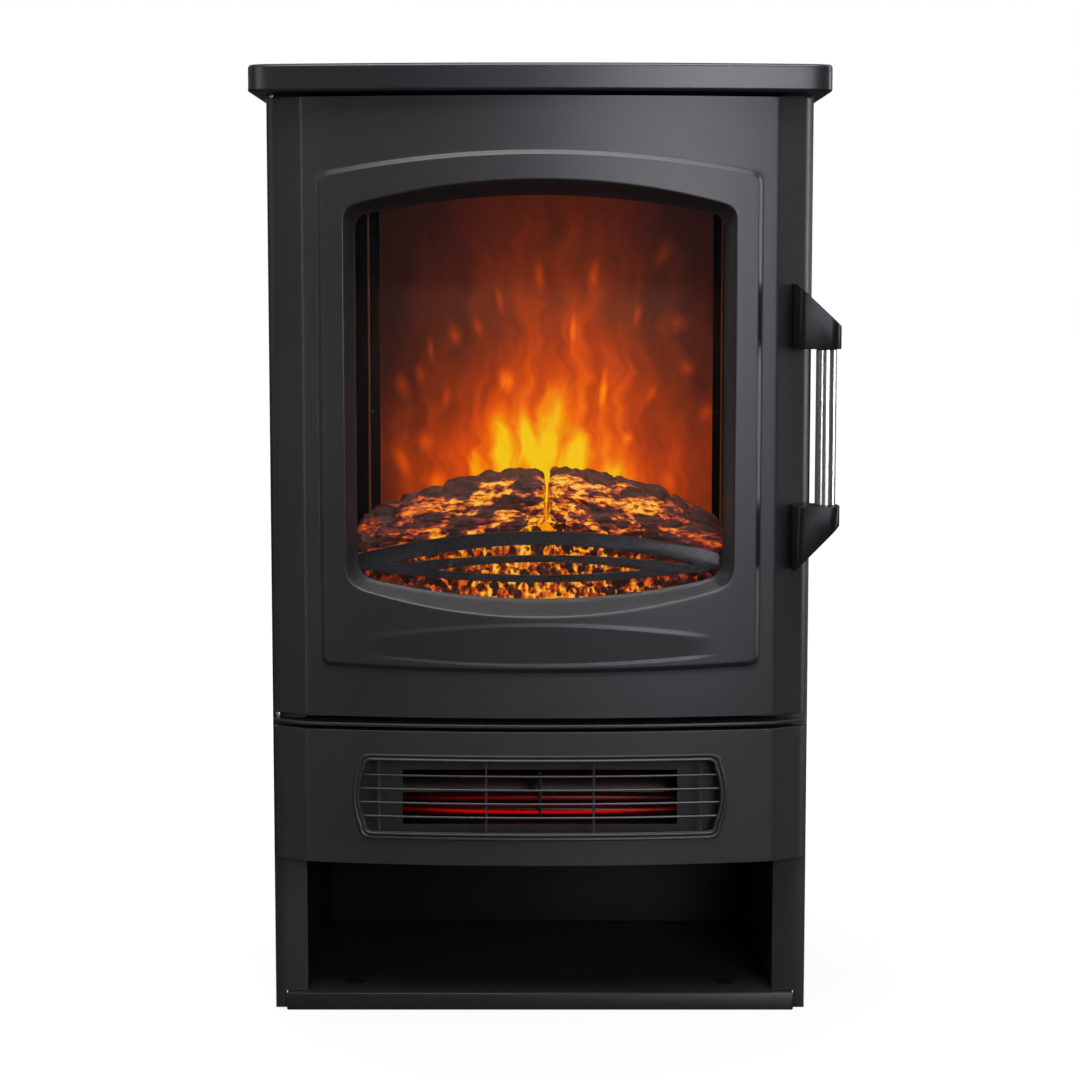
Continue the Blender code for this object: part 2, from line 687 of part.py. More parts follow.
def make_firebox():
    sheet_front = FLANGE_Y
    flange_reach = NICHE_HALF - 0.0005
    low_z = BOX_FLOOR
    high_z = BOX_TOP - GAP
    for side, name in ((-1, "firebox_wall_left"), (1, "firebox_wall_right")):
        path = [(side * flange_reach, sheet_front, low_z), (side * BOX_HALF, sheet_front, low_z),
                (side * BOX_HALF, BOX_REAR_Y, low_z)]
        if side < 0:
            path.reverse()
        folded_sheet(name, path, (0, 0, high_z - low_z), -SHEET, DARK_SHEET)
    header = [(-flange_reach, sheet_front, SLAB_BOTTOM - 0.001), (-flange_reach, sheet_front, BOX_TOP),
              (-flange_reach, BOX_REAR_Y, BOX_TOP)]
    folded_sheet("firebox_ceiling", header, (2 * flange_reach, 0, 0), SHEET, DARK_SHEET)
    inside = BOX_HALF - GAP
    box("firebox_floor", (-inside, FLANGE_Y + 0.002, BOX_FLOOR), (inside, BOX_REAR_Y, FLOOR_TOP), DARK_SHEET)

    low_z, high_z = BOX_FLOOR + 0.004, BOX_TOP - 0.003
    box("flame_screen", (-SCREEN_HALF, SCREEN_Y, low_z), (SCREEN_HALF, SCREEN_Y + 0.003, high_z), SCREEN)
    for side, name in ((-1, "screen_clamp_left"), (1, "screen_clamp_right")):
        inner, outer = sorted((side * CLAMP_INNER_X[name], side * inside))
        box(name, (inner, SCREEN_Y - 0.004, low_z), (outer, SCREEN_Y - GAP, high_z), DARK_SHEET)


def lumpy_bar(name, start, end, radii, phase, sides=12, rings=9, squash=1.0):
    """Log-like closed form along a line: rings of points whose radius swells and dips by a smooth rule."""
    start, end = Vector(start), Vector(end)
    direction = (end - start).normalized()
    across = direction.cross(Vector((0, 0, 1))).normalized()
    up = across.cross(direction)
    sections = []
    for share in spread(0, 1, rings - 1):
        cap = min(1.0, 0.72 + 3.0 * min(share, 1 - share))
        radius = cap * (radii[0] + (radii[1] - radii[0]) * share)
        centre = start.lerp(end, share)
        section = []
        for k in range(sides):
            angle = 2 * math.pi * k / sides
            ridges = 0.07 * math.sin(3 * angle + phase + 4 * share)
            swells = 0.05 * math.sin(2 * angle - phase + 9 * share)
            reach = radius * (1 + ridges + swells)
            sideways = across * (reach * math.cos(angle))
            section.append(centre + sideways + up * (reach * squash * math.sin(angle)))
        sections.append(section)
    return loft(name, sections, LOG_RESIN)


def make_fuel_bed():
    """Two big logs that meet at the middle, two small ones in front of them, and the ember bed below."""
    inner_y, end_y = LOG_Y - 0.003, LOG_Y + 0.001
    lumpy_bar("log_left", (-0.148, end_y, LOG_END_Z), (-0.004, inner_y, LOG_MEETING_Z), (0.015, 0.019), 1.0,
              squash=1.15)
    lumpy_bar("log_right", (0.006, inner_y, LOG_MEETING_Z), (0.148, end_y, LOG_END_Z), (0.019, 0.015), 2.3,
              squash=1.15)
    inner_y, end_y = LOG_FRONT_Y, LOG_FRONT_Y + 0.001
    lumpy_bar("log_front_left", (-0.150, end_y, LOG_FRONT_END_Z), (-0.018, inner_y, LOG_FRONT_MEETING_Z),
              (0.0070, 0.0085), 0.4)
    lumpy_bar("log_front_right", (0.020, inner_y, LOG_FRONT_MEETING_Z), (0.150, end_y, LOG_FRONT_END_Z),
              (0.0085, 0.0070), 3.1)
    reach = BOX_HALF - 0.003
    front_y, rear_y = FLANGE_Y + 0.0105, SCREEN_Y - 0.006
    low_z = FLOOR_TOP + GAP
    sections = []
    for x in spread(-reach, reach, 12):
        crest = EMBER_CREST_Z - 0.012 * (x / reach) ** 2
        sections.append([(x, front_y, low_z), (x, rear_y, low_z), (x, rear_y, crest - 0.002),
                         (x, front_y + 0.018, crest), (x, front_y + 0.004, crest - 0.005),
                         (x, front_y, crest - 0.014)])
    loft("ember_bed", sections, RESIN)


def arc_pair(upper_mid, lower_mid, end_x, end_z, steps=14):
    """Closed crescent or eye between two arcs that share their end points."""
    upper = [(x, upper_mid + (end_z - upper_mid) * (x / end_x) ** 2) for x in spread(end_x, -end_x, steps)]
    lower = [(x, lower_mid + (end_z - lower_mid) * (x / end_x) ** 2) for x in spread(-end_x, end_x, steps)]
    return upper[:-1] + lower[:-1]


def make_grate():
    """Black grate: three arched bars that run together at both ends."""
    half = BOX_HALF - 0.0006
    top = [(x, 0.439 - 0.0195 * (x / 0.160) ** 2) for x in spread(half, -half, 20)]
    bottom = [(x, 0.3928 + 0.0099 * (x / 0.146) ** 2) for x in spread(-half, half, 20)]
    upright_plate("fire_grate", top + bottom, GRATE_Y - 0.002, GRATE_Y + 0.002, BLACK_PLASTIC,
                  holes=(arc_pair(0.4268, 0.4173, 0.139, 0.4085), arc_pair(0.4112, 0.3992, 0.0925, 0.4040)))


def make_flame_drive():
    """Rod with reflecting flags behind the screen, on two bushes, with a geared motor at its right end."""
    axis_point = (0, SPINNER_Y, SPINNER_Z)
    rod = cylinder("flame_spinner", axis_point, ROD_RADIUS, 2 * BOX_HALF + 0.016, "X", ZINC, sides=12)
    for i, x in enumerate(spread(-FLAG_REACH, FLAG_REACH, FLAG_COUNT - 1)):
        flag = box(f"spinner_flag_{i}", (x - 0.015, SPINNER_Y - SPINNER_RADIUS, SPINNER_Z - 0.0004),
                   (x + 0.015, SPINNER_Y + SPINNER_RADIUS, SPINNER_Z + 0.0004), ZINC, HELPERS)
        flag.rotation_euler = (FLAG_TURN * i, 0, 0)
        join(rod, flag)
    for side, word in ((-1, "left"), (1, "right")):
        bush_x = side * (BOX_HALF - 0.006)
        bush = rod_sleeve(f"spinner_bush_{word}", bush_x, 0.0060, 0.0080, BLACK_PLASTIC, sides=20)
        cut(bush, rod_sleeve(f"bush_bore_{word}", bush_x, ROD_RADIUS + GAP, BORE_LENGTH))
        wall = bpy.data.objects[f"firebox_wall_{word}"]
        cut(wall, rod_sleeve(f"wall_bore_{word}", side * BOX_HALF, ROD_RADIUS + 0.001, 0.02))
    motor = rod_sleeve("flame_motor", MOTOR_X + MOTOR_LENGTH / 2, 0.0245, MOTOR_LENGTH, ZINC, sides=28)
    cut(motor, rod_sleeve("motor_socket", MOTOR_X, ROD_RADIUS + GAP, 0.02))
    outline = rectangle(SPINNER_Y - 0.034, SPINNER_Z - 0.028, SPINNER_Y + 0.034, SPINNER_Z + 0.028)
    bracket_x = MOTOR_X - GAP
    bracket = side_plate("motor_bracket", outline, bracket_x - 0.0015, bracket_x, GREY_SHEET)
    cut(bracket, rod_sleeve("bracket_hole", MOTOR_X, 0.0060, 0.02))


def rod_sleeve(name, x, radius, length, finish=None, sides=20):
    """Cylinder about the spinner's axis: a part with a finish, or else a cutter."""
    collection = PARTS if finish else HELPERS
    return cylinder(name, (x, SPINNER_Y, SPINNER_Z), radius, length, "X", finish or ZINC, collection, sides)


def make_electrics():
    """Light strips under the embers and behind the flames, the power board and the overheat cut-out."""
    half = 0.140
    low_z = FLOOR_TOP + 0.001 + GAP
    box("ember_light_board", (-half, SCREEN_Y + 0.008, low_z), (half, SCREEN_Y + 0.024, low_z + 0.0016),
        BOARD_GREEN)
    rear_y = BOX_REAR_Y - 0.0104
    box("flame_light_board", (-half, rear_y - 0.0016, 0.400), (half, rear_y, 0.425), BOARD_GREEN)
    box("power_board", (-0.060, -0.020, 0.280), (0.060, 0.060, 0.2816), BOARD_GREEN)
    cutout_place = (0.050, TUBE_Y + 0.012, REFLECTOR_TOP + 0.014)
    cylinder("thermal_cutout", cutout_place, 0.0080, 0.0090, "Z", CERAMIC, sides=20)


def make_controls():
    """Panel under the firebox, with three rockers and the thermostat's knob."""
    half = NICHE_HALF - 0.0005
    wide = ROCKER_WIDTH / 2 + ROCKER_SLOT_SIDE
    high = ROCKER_HALF + ROCKER_SLOT_END
    slots = [rectangle(x - wide, CONTROL_Z - high, x + wide, CONTROL_Z + high) for x in ROCKER_X.values()]
    shaft_hole = circle(KNOB_X, CONTROL_Z, 0.0038)
    outline = rectangle(-half, RAIL_TOP + 0.001, half, BOX_FLOOR - GAP)
    upright_plate("control_panel", outline, FLANGE_Y, FLANGE_Y + PANEL_SHEET, BLACK_PLASTIC,
                  holes=(*slots, shaft_hole))

    for name, x in ROCKER_X.items():
        profile = [(0.003, 0), (-0.001, ROCKER_HALF), (-0.008, ROCKER_HALF), (-0.0063, 0),
                   (-0.008, -ROCKER_HALF), (-0.001, -ROCKER_HALF)]
        rocker = plate(name, profile, ROCKER_WIDTH, BLACK_PLASTIC)
        upright = Matrix.Rotation(math.radians(90), 4, "Z") @ Matrix.Rotation(math.radians(90), 4, "X")
        place = Matrix.Translation((x, ROCKER_PIVOT_Y, CONTROL_Z))
        rocker.matrix_world = place @ Matrix.Rotation(ROCKER_TILT, 4, "X") @ upright
    make_thermostat()


def make_thermostat():
    """Knob on the shaft of a round switch body, with its pointer at the low end of its travel."""
    turn_front = Matrix.Rotation(math.radians(90), 4, "X")
    place = Matrix.Translation((KNOB_X, FLANGE_Y - 0.001, CONTROL_Z))
    bore = 0.0033
    bore_end = KNOB_DEPTH - 0.0045
    profile = [(0, KNOB_DEPTH), (KNOB_RADIUS - 0.003, KNOB_DEPTH), (KNOB_RADIUS - 0.001, KNOB_DEPTH - 0.0015),
               (KNOB_RADIUS, 0.0030), (KNOB_RADIUS + 0.001, 0), (bore, 0), (bore, bore_end), (0, bore_end)]
    knob = turned("thermostat_knob", profile, (0, 0, 0), "Z", BLACK_PLASTIC, steps=28)
    knob.matrix_world = place @ turn_front
    pointer = box("knob_pointer", (-0.0012, -0.0170, 0.0050), (0.0012, -0.0050, KNOB_RADIUS - 0.0015),
                  BLACK_PLASTIC, HELPERS)
    pointer.matrix_world = place @ Matrix.Rotation(KNOB_REST, 4, "Y") @ Matrix.Translation(pointer.location)
    join(knob, pointer)
    shaft = bore - GAP
    body_profile = [(0, 0.0095), (shaft, 0.0095), (shaft, -0.0030), (0.0150, -0.0030), (0.0150, -0.0210),
                    (0, -0.0210)]
    body = turned("thermostat_body", body_profile, (0, 0, 0), "Z", ZINC, steps=28)
    body.matrix_world = Matrix.Translation((KNOB_X, FLANGE_Y, CONTROL_Z)) @ turn_front


# ---- door ----


def window_section(shape, y):
    return [(x, y, z) for x, z in arched_outline(**shape)]


def make_door():
    """Moulded door shell with a raised field and a deep bevelled window frame."""
    door = section_shell("door_fascia", DOOR_BOTTOM, DOOR_TOP, DOOR_REAR_Y, DOOR_WALL, POWDER_COAT)
    relief = upright_plate("door_relief", arched_outline(**RELIEF), FLANGE_Y - 0.09, FLANGE_Y - 0.01,
                           POWDER_COAT, HELPERS)
    keep_common(relief, bow_band("relief_band", CHAMFER_X, -RELIEF_HEIGHT, 0.001, 0.30, 0.80))
    frame = upright_plate("window_frame", arched_outline(**grown(WINDOW_INNER, 0.0145)), FLANGE_Y - 0.09,
                          WINDOW_FRAME_REAR_Y, POWDER_COAT, HELPERS)
    keep_common(frame, bow_band("frame_band", CHAMFER_X, 0.0012, 0.060, 0.30, 0.80))
    join(door, frame, relief)
    share = 1.3  # the cutter's slanted sides run past the front surface
    inner, outer = WINDOW_INNER, WINDOW_OUTER
    beyond = {key: inner[key] + share * (outer[key] - inner[key]) for key in inner}
    beyond_y = WINDOW_FRAME_REAR_Y + share * (BEVEL_FRONT_Y - WINDOW_FRAME_REAR_Y)
    sections = [window_section(beyond, beyond_y), window_section(inner, WINDOW_FRAME_REAR_Y),
                window_section(inner, FLANGE_Y + 0.01)]
    cut(door, loft("window_opening", sections, DARK_SHEET, HELPERS))
    pivot_centre = (PIVOT_X, PIVOT_Y, (DOOR_BOTTOM + DOOR_TOP) / 2)
    pivot_length = DOOR_TOP - DOOR_BOTTOM + 0.02
    bore_radius = PIN_RADIUS + PIN_CLEARANCE
    pivot_bore = cylinder("pivot_bore", pivot_centre, bore_radius, pivot_length, "Z", DARK_SHEET, HELPERS, 16)
    cut(door, pivot_bore)
    centre_on_pivot(door)


def make_window():
    """Glass behind the frame, held by a folded strip at each side."""
    glass_y = WINDOW_FRAME_REAR_Y + GAP
    rear = glass_y + GLASS_THICKNESS + GAP
    strip = 0.0012
    tongue, foot_inner, foot_outer = 0.1655, 0.1710, 0.1765
    glass = arched_outline(**grown(WINDOW_INNER, 0.0070))
    centre_on_pivot(upright_plate("window_glass", glass, glass_y, glass_y + GLASS_THICKNESS, CLEAR_GLASS))
    for side, name in ((-1, "glass_retainer_left"), (1, "glass_retainer_right")):
        path = [(tongue, rear), (foot_inner, rear), (foot_inner, glass_y), (foot_outer, glass_y),
                (foot_outer, rear + strip), (tongue, rear + strip)]
        outline = [(side * x, y) for x, y in path]
        centre_on_pivot(flat_plate(name, outline, RETAINER_BOTTOM, RETAINER_TOP, ZINC))


def centre_on_pivot(target):
    """Moves a door piece's origin to the hinge axis and leaves its shape where it is."""
    bpy.context.view_layer.update()
    pivot = Matrix.Translation((PIVOT_X, PIVOT_Y, 0))
    target.data.transform(pivot.inverted() @ target.matrix_world)
    target.matrix_world = pivot


def make_hinge_and_catch():
    shoulder = 0.0023
    low = [(0, DOOR_BOTTOM + 0.0075), (PIN_RADIUS, DOOR_BOTTOM + 0.0075), (PIN_RADIUS, DOOR_BOTTOM - GAP),
           (shoulder, DOOR_BOTTOM - GAP), (shoulder, RAIL_TOP + GAP), (0, RAIL_TOP + GAP)]
    turned("hinge_pin_lower", low, (PIVOT_X, PIVOT_Y, 0), "Z", ZINC, steps=16)
    high = [(0, SLAB_BOTTOM - GAP), (shoulder, SLAB_BOTTOM - GAP), (shoulder, DOOR_TOP + GAP),
            (PIN_RADIUS, DOOR_TOP + GAP), (PIN_RADIUS, DOOR_TOP - 0.0075), (0, DOOR_TOP - 0.0075)]
    turned("hinge_pin_upper", high, (PIVOT_X, PIVOT_Y, 0), "Z", ZINC, steps=16)
    box("door_magnet", (0.2125, FLANGE_Y - 0.0070, MAGNET_BOTTOM), (0.2295, FLANGE_Y - GAP, MAGNET_TOP),
        BLACK_PLASTIC)
    strike = box("strike_plate", (0.2110, FLANGE_Y - 0.0128, MAGNET_BOTTOM),
                 (0.2210, FLANGE_Y - 0.0073, MAGNET_TOP), ZINC)
    centre_on_pivot(strike)


def make_handle():
    """Bright bar between two wedge brackets that stand on the right chamfer."""
    chamfer = [(x, fascia_y(x) - 1.2 * GAP) for x in (0.2225, 0.2385)]
    left, right, front = BRACKET_LEFT_X, BRACKET_RIGHT_X, BRACKET_FRONT_Y
    rear = FLANGE_Y - 0.018
    nose_left = corner_arc((left, front + 0.008), (left, front), (left + 0.008, front), 4)
    nose_right = corner_arc((right - 0.010, front), (right, front), (right, front + 0.012), 4)
    tail = corner_arc((right, rear - 0.007), (right, rear), (right - 0.007, rear + 0.001), 3)
    plan = [chamfer[0], *nose_left, *nose_right, *tail, (0.2460, FLANGE_Y - 0.0125), chamfer[1]]
    far = 0.28
    upper_wedge = [(0.20, 0.60), (far, 0.60), (far, 0.6080), (left, BRACKET_UPPER_Z), (0.20, BRACKET_UPPER_Z)]
    lower_wedge = [(0.20, BRACKET_LOWER_Z), (left, BRACKET_LOWER_Z), (far, 0.4655), (far, 0.47), (0.20, 0.47)]
    brackets = (
        ("handle_bracket_upper", BAR_TOP, BRACKET_UPPER_Z, upper_wedge),
        ("handle_bracket_lower", BRACKET_LOWER_Z, BAR_BOTTOM, lower_wedge),
    )
    for name, low_z, high_z, wedge in brackets:
        bracket = flat_plate(name, plan, low_z, high_z, BLACK_PLASTIC)
        slope = upright_plate(name + "_slope", wedge, FLANGE_Y - 0.09, FLANGE_Y + 0.03, BLACK_PLASTIC,
                              HELPERS)
        keep_common(bracket, slope)
        centre_on_pivot(bracket)
    length = BAR_TOP - BAR_BOTTOM - 2 * GAP
    middle_z = (BAR_TOP + BAR_BOTTOM) / 2
    bar = cylinder("handle_bar", (BAR_X, BAR_Y, middle_z), BAR_RADIUS, length, "Z", BRIGHT_STEEL, sides=32)
    centre_on_pivot(bar)


make_top_plate()
make_side_panels()
make_base()
make_niche()
make_rear()
make_heater_front()
make_grille()
make_heater()
make_firebox()
make_fuel_bed()
make_grate()
make_flame_drive()
make_electrics()
make_controls()
make_door()
make_window()
make_hinge_and_catch()
make_handle()
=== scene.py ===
# %% [markdown]
# # A stove-shaped electric fireplace
#
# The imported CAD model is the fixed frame: it says where every part is and how it moves. This script gives
# each part its finished shape and surface, in metres and the frame's axes: +X right, +Y to the wall, +Z up.

# %% Load the frame
import json
import math

import bmesh
import bpy
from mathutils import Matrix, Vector, noise


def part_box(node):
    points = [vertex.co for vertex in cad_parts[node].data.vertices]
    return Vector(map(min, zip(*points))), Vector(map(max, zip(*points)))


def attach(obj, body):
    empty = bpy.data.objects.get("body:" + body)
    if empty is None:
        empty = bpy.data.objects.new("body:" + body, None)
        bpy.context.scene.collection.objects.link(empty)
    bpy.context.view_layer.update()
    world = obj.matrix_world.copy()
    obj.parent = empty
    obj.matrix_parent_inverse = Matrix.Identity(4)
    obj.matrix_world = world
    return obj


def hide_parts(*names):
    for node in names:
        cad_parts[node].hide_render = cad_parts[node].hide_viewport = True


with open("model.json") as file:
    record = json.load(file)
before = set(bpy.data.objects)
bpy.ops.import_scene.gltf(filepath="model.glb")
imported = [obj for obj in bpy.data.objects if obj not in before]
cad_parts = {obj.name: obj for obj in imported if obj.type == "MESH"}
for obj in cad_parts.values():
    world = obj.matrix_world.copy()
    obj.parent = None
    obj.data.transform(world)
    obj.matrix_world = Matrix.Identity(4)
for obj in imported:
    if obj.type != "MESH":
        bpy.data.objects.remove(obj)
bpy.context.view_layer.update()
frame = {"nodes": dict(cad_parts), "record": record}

RECORD = frame["record"]
BODY_OF = {node: body for body, nodes in RECORD["behaviour"]["bodies"].items() for node in nodes}
FLANGE_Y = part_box("side_panel_left")[0].y
DOOR_LOW, DOOR_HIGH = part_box("door_fascia")
HEATER_LOW, HEATER_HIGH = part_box("heater_fascia")
SLAB_LOW, SLAB_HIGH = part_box("top_plate")
FASCIA_HALF = HEATER_HIGH.x
print("flange plane at y", round(FLANGE_Y, 4), "door height", round(DOOR_HIGH.z - DOOR_LOW.z, 4))

# %% [markdown]
# ## Pieces from CAD nodes
#
# A CAD node arrives as loose triangles. A copy is welded and its flat faces are joined again, so that a Bevel
# modifier finds real edges to round. Every real edge has a small radius, and that radius catches the light.

# %% Mesh helpers
WELD = 0.000002
FLAT = math.radians(0.3)


def new_piece(name, shape):
    """An object at the origin from a bmesh."""
    mesh = bpy.data.meshes.new(name)
    shape.to_mesh(mesh)
    shape.free()
    made = bpy.data.objects.new(name, mesh)
    bpy.context.scene.collection.objects.link(made)
    return made


def bake(piece):
    """Turns a piece's modifiers into plain mesh."""
    bpy.context.view_layer.update()
    graph = bpy.context.evaluated_depsgraph_get()
    mesh = bpy.data.meshes.new_from_object(piece.evaluated_get(graph), depsgraph=graph)
    piece.modifiers.clear()
    piece.data = mesh
    return piece


def round_edges(piece, width, segments=3, angle=40):
    piece.data.shade_smooth()
    bevel = piece.modifiers.new("round_edges", "BEVEL")
    bevel.width = width
    bevel.segments = segments
    bevel.limit_method = "ANGLE"
    bevel.angle_limit = math.radians(angle)
    bevel.harden_normals = True


def place_piece(piece, finish, *nodes, body=None, slot=None):
    """Bakes a piece, gives it its finish and lets it stand for CAD nodes."""
    bake(piece)
    piece.data.materials.clear()
    piece.data.materials.append(finish)
    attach(piece, body or BODY_OF[nodes[0]])
    if nodes:
        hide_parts(*nodes)
    return piece


def shade(piece, angle):
    """Smooth shading that keeps every edge past an angle sharp."""
    piece.data.shade_smooth()
    piece.data.set_sharp_from_angle(angle=math.radians(angle))
    return piece


def refine(nodes, finish, edge=0.0005, segments=2, angle=40):
    """CAD nodes, named in one line of text, with their edges rounded and in a better finish."""
    for node in nodes.split():
        shape = bmesh.new()
        shape.from_mesh(frame["nodes"][node].data)
        bmesh.ops.remove_doubles(shape, verts=shape.verts, dist=WELD)
        bmesh.ops.dissolve_limit(shape, angle_limit=FLAT, verts=shape.verts, edges=shape.edges)
        piece = new_piece("fine_" + node, shape)
        if edge:
            round_edges(piece, edge, segments, angle)
        else:
            shade(piece, angle)
        place_piece(piece, finish, node)
    return piece


def grid(shape, rows, closed=False):
    """Quads through rows of points with equal counts."""
    verts = [[shape.verts.new(point) for point in row] for row in rows]
    count = len(rows[0])
    for first, second in zip(verts, verts[1:]):
        for i in range(count if closed else count - 1):
            j = (i + 1) % count
            shape.faces.new((first[i], first[j], second[j], second[i]))


def weld(shape, dist=WELD):
    bmesh.ops.remove_doubles(shape, verts=shape.verts, dist=dist)
    bmesh.ops.recalc_face_normals(shape, faces=shape.faces)


def spread(low, high, steps):
    return [low + (high - low) * i / steps for i in range(steps + 1)]


def circle_turns(steps):
    return [2 * math.pi * k / steps for k in range(steps)]


def turned_rows(profile, steps, x=0.0, y=0.0):
    """Rings of an upright turned shape, from (reach, z) pairs."""
    return [[(x + reach * math.cos(a), y + reach * math.sin(a), z) for a in circle_turns(steps)]
            for reach, z in profile]


def closed_piece(name, rows, dist=WELD):
    """Piece from rows of points that each run round it."""
    shape = bmesh.new()
    grid(shape, rows, closed=True)
    weld(shape, dist)
    return new_piece(name, shape)


def rough(x, y, z, octaves=3):
    """Broken-up noise for natural surfaces."""
    return noise.fractal(Vector((x, y, z)), 0.7, 2.0, octaves)


def smooth_step(low, high, value):
    share = min(1.0, max(0.0, (value - low) / (high - low)))
    return share * share * (3 - 2 * share)


# %% [markdown]
# ## Node helpers
#
# A material is a small tree of nodes. An input given as another node's output is linked, and any other value
# is typed into the socket.

# %% Node helpers
def plug(tree, node, inputs):
    for key, value in inputs.items():
        if isinstance(value, bpy.types.NodeSocket):
            tree.links.new(value, node.inputs[key])
        else:
            node.inputs[key].default_value = value
    return node


def add_node(tree, kind, inputs=None, **settings):
    made = tree.nodes.new(kind)
    for key, value in settings.items():
        setattr(made, key, value)
    return plug(tree, made, inputs or {})


def calc(tree, operation, first, second=0.0, third=0.0, clamp=False):
    values = {0: first, 1: second, 2: third}
    return add_node(tree, "ShaderNodeMath", values, operation=operation, use_clamp=clamp).outputs[0]


def product(tree, first, *others):
    for other in others:
        first = calc(tree, "MULTIPLY", first, other)
    return first


def scaled(tree, value, scale, offset, clamp=False):
    """value * scale + offset"""
    return calc(tree, "MULTIPLY_ADD", value, scale, offset, clamp)


def eased(tree, value, low, high, start, end, curve="SMOOTHSTEP"):
    """A value carried from the span low..high to start..end."""
    inputs = {"Value": value, "From Min": low, "From Max": high, "To Min": start, "To Max": end}
    return add_node(tree, "ShaderNodeMapRange", inputs, interpolation_type=curve).outputs[0]


def blend_colour(tree, share, first, second):
    return add_node(tree, "ShaderNodeMix", {0: share, 6: first, 7: second}, data_type="RGBA").outputs[2]


def object_place(tree):
    return add_node(tree, "ShaderNodeTexCoord").outputs["Object"]


def axes_of(tree, place=None):
    """x, y and z of a place, which is the object coordinates unless another is given."""
    return add_node(tree, "ShaderNodeSeparateXYZ", {0: place or object_place(tree)}).outputs


def vector(tree, x=0.0, y=0.0, z=0.0):
    return add_node(tree, "ShaderNodeCombineXYZ", {0: x, 1: y, 2: z}).outputs[0]


def vector_math(tree, operation, first, second):
    return add_node(tree, "ShaderNodeVectorMath", {0: first, 1: second}, operation=operation).outputs[0]


def stretched(tree, scale):
    """Object coordinates with each axis scaled, for a pattern that is longer one way."""
    return vector_math(tree, "MULTIPLY", object_place(tree), scale)


def noise_value(tree, place, scale=1.0, detail=2.0, roughness=0.5):
    values = {"Vector": place, "Scale": scale, "Detail": detail, "Roughness": roughness}
    return add_node(tree, "ShaderNodeTexNoise", values).outputs[0]


def centred(tree, value):
    """Noise moved to lie evenly about zero."""
    return calc(tree, "SUBTRACT", value, 0.5)


def ramp(tree, value, *stops):
    """Colour ramp from (place, colour) pairs."""
    made = add_node(tree, "ShaderNodeValToRGB", {"Fac": value})
    band = made.color_ramp
    while len(band.elements) < len(stops):
        band.elements.new(0.5)
    for element, (place, colour) in zip(band.elements, stops):
        element.position = place
        element.color = colour
    return made.outputs[0]


def bump(tree, height, strength, depth):
    inputs = {"Height": height, "Strength": strength, "Distance": depth}
    return add_node(tree, "ShaderNodeBump", inputs).outputs[0]


def grey(value):
    return (value, value, value, 1.0)


def shaded_by(colour, share):
    """A colour made lighter or darker by a share."""
    return tuple(part * share for part in colour[:3]) + (1.0,)


def tint(red, green, blue):
    """A colour given as 0 to 255 display values, in the linear light that shaders use."""
    def linear(value):
        share = value / 255
        return share / 12.92 if share <= 0.04045 else ((share + 0.055) / 1.055) ** 2.4
    return (linear(red), linear(green), linear(blue), 1.0)


BLACK, WHITE = grey(0.0), grey(1.0)


def new_group(name, inputs, *outputs):
    """Shader node group with float or vector inputs and float outputs."""
    tree = bpy.data.node_groups.new(name, "ShaderNodeTree")
    for label, value in inputs.items():
        kind = "NodeSocketVector" if isinstance(value, tuple) else "NodeSocketFloat"
        tree.interface.new_socket(label, in_out="INPUT", socket_type=kind).default_value = value
    for label in outputs:
        tree.interface.new_socket(label, in_out="OUTPUT", socket_type="NodeSocketFloat")
    return tree, tree.nodes.new("NodeGroupInput").outputs, tree.nodes.new("NodeGroupOutput")


def use_group(tree, group, **inputs):
    values = {label.replace("_", " "): value for label, value in inputs.items()}
    return plug(tree, add_node(tree, "ShaderNodeGroup", node_tree=group), values).outputs


def new_finish(name):
    finish = bpy.data.materials.new(name)
    finish.use_nodes = True
    return finish, finish.node_tree, finish.node_tree.nodes["Principled BSDF"]


# %% [markdown]
# ## Grain and brushing: two surfaces that most finishes share
#
# A powder coat dries with a skin like fine orange peel, and a moulding copies the spark-eroded texture of its
# tool. Both are a bump far smaller than the part, with a slow drift in tone on top. Rolled or drawn metal has
# lines along the way it was worked: noise that is squeezed across and stretched along. Each finish sets the
# sizes of its own grain or lines.

# %% The grain group
GRAIN, grain_in, grain_out = new_group("grain", {"Grain Scale": 900.0, "Drift Scale": 7.0}, "Height", "Tone")
grain_place = object_place(GRAIN)
peel = noise_value(GRAIN, grain_place, grain_in["Grain Scale"], 3.0, 0.6)
speck = noise_value(GRAIN, grain_place, product(GRAIN, grain_in["Grain Scale"], 0.37), 2.0)
drift = noise_value(GRAIN, grain_place, grain_in["Drift Scale"], 3.0)
fine_tone = scaled(GRAIN, centred(GRAIN, peel), 0.9, 0.5)
plug(GRAIN, grain_out, {"Height": scaled(GRAIN, speck, 0.5, peel),
                        "Tone": scaled(GRAIN, centred(GRAIN, drift), 0.8, fine_tone, True)})

# %% The brushing group
BRUSHING, brush_in, brush_out = new_group("brushing", {"Stretch": (900.0, 900.0, 12.0)}, "Height", "Tone")
lines = noise_value(BRUSHING, stretched(BRUSHING, brush_in["Stretch"]), 1.0, 3.0, 0.6)
smudge = noise_value(BRUSHING, object_place(BRUSHING), 35.0, 3.0, 0.55)
plug(BRUSHING, brush_out, {"Height": lines, "Tone": smudge})


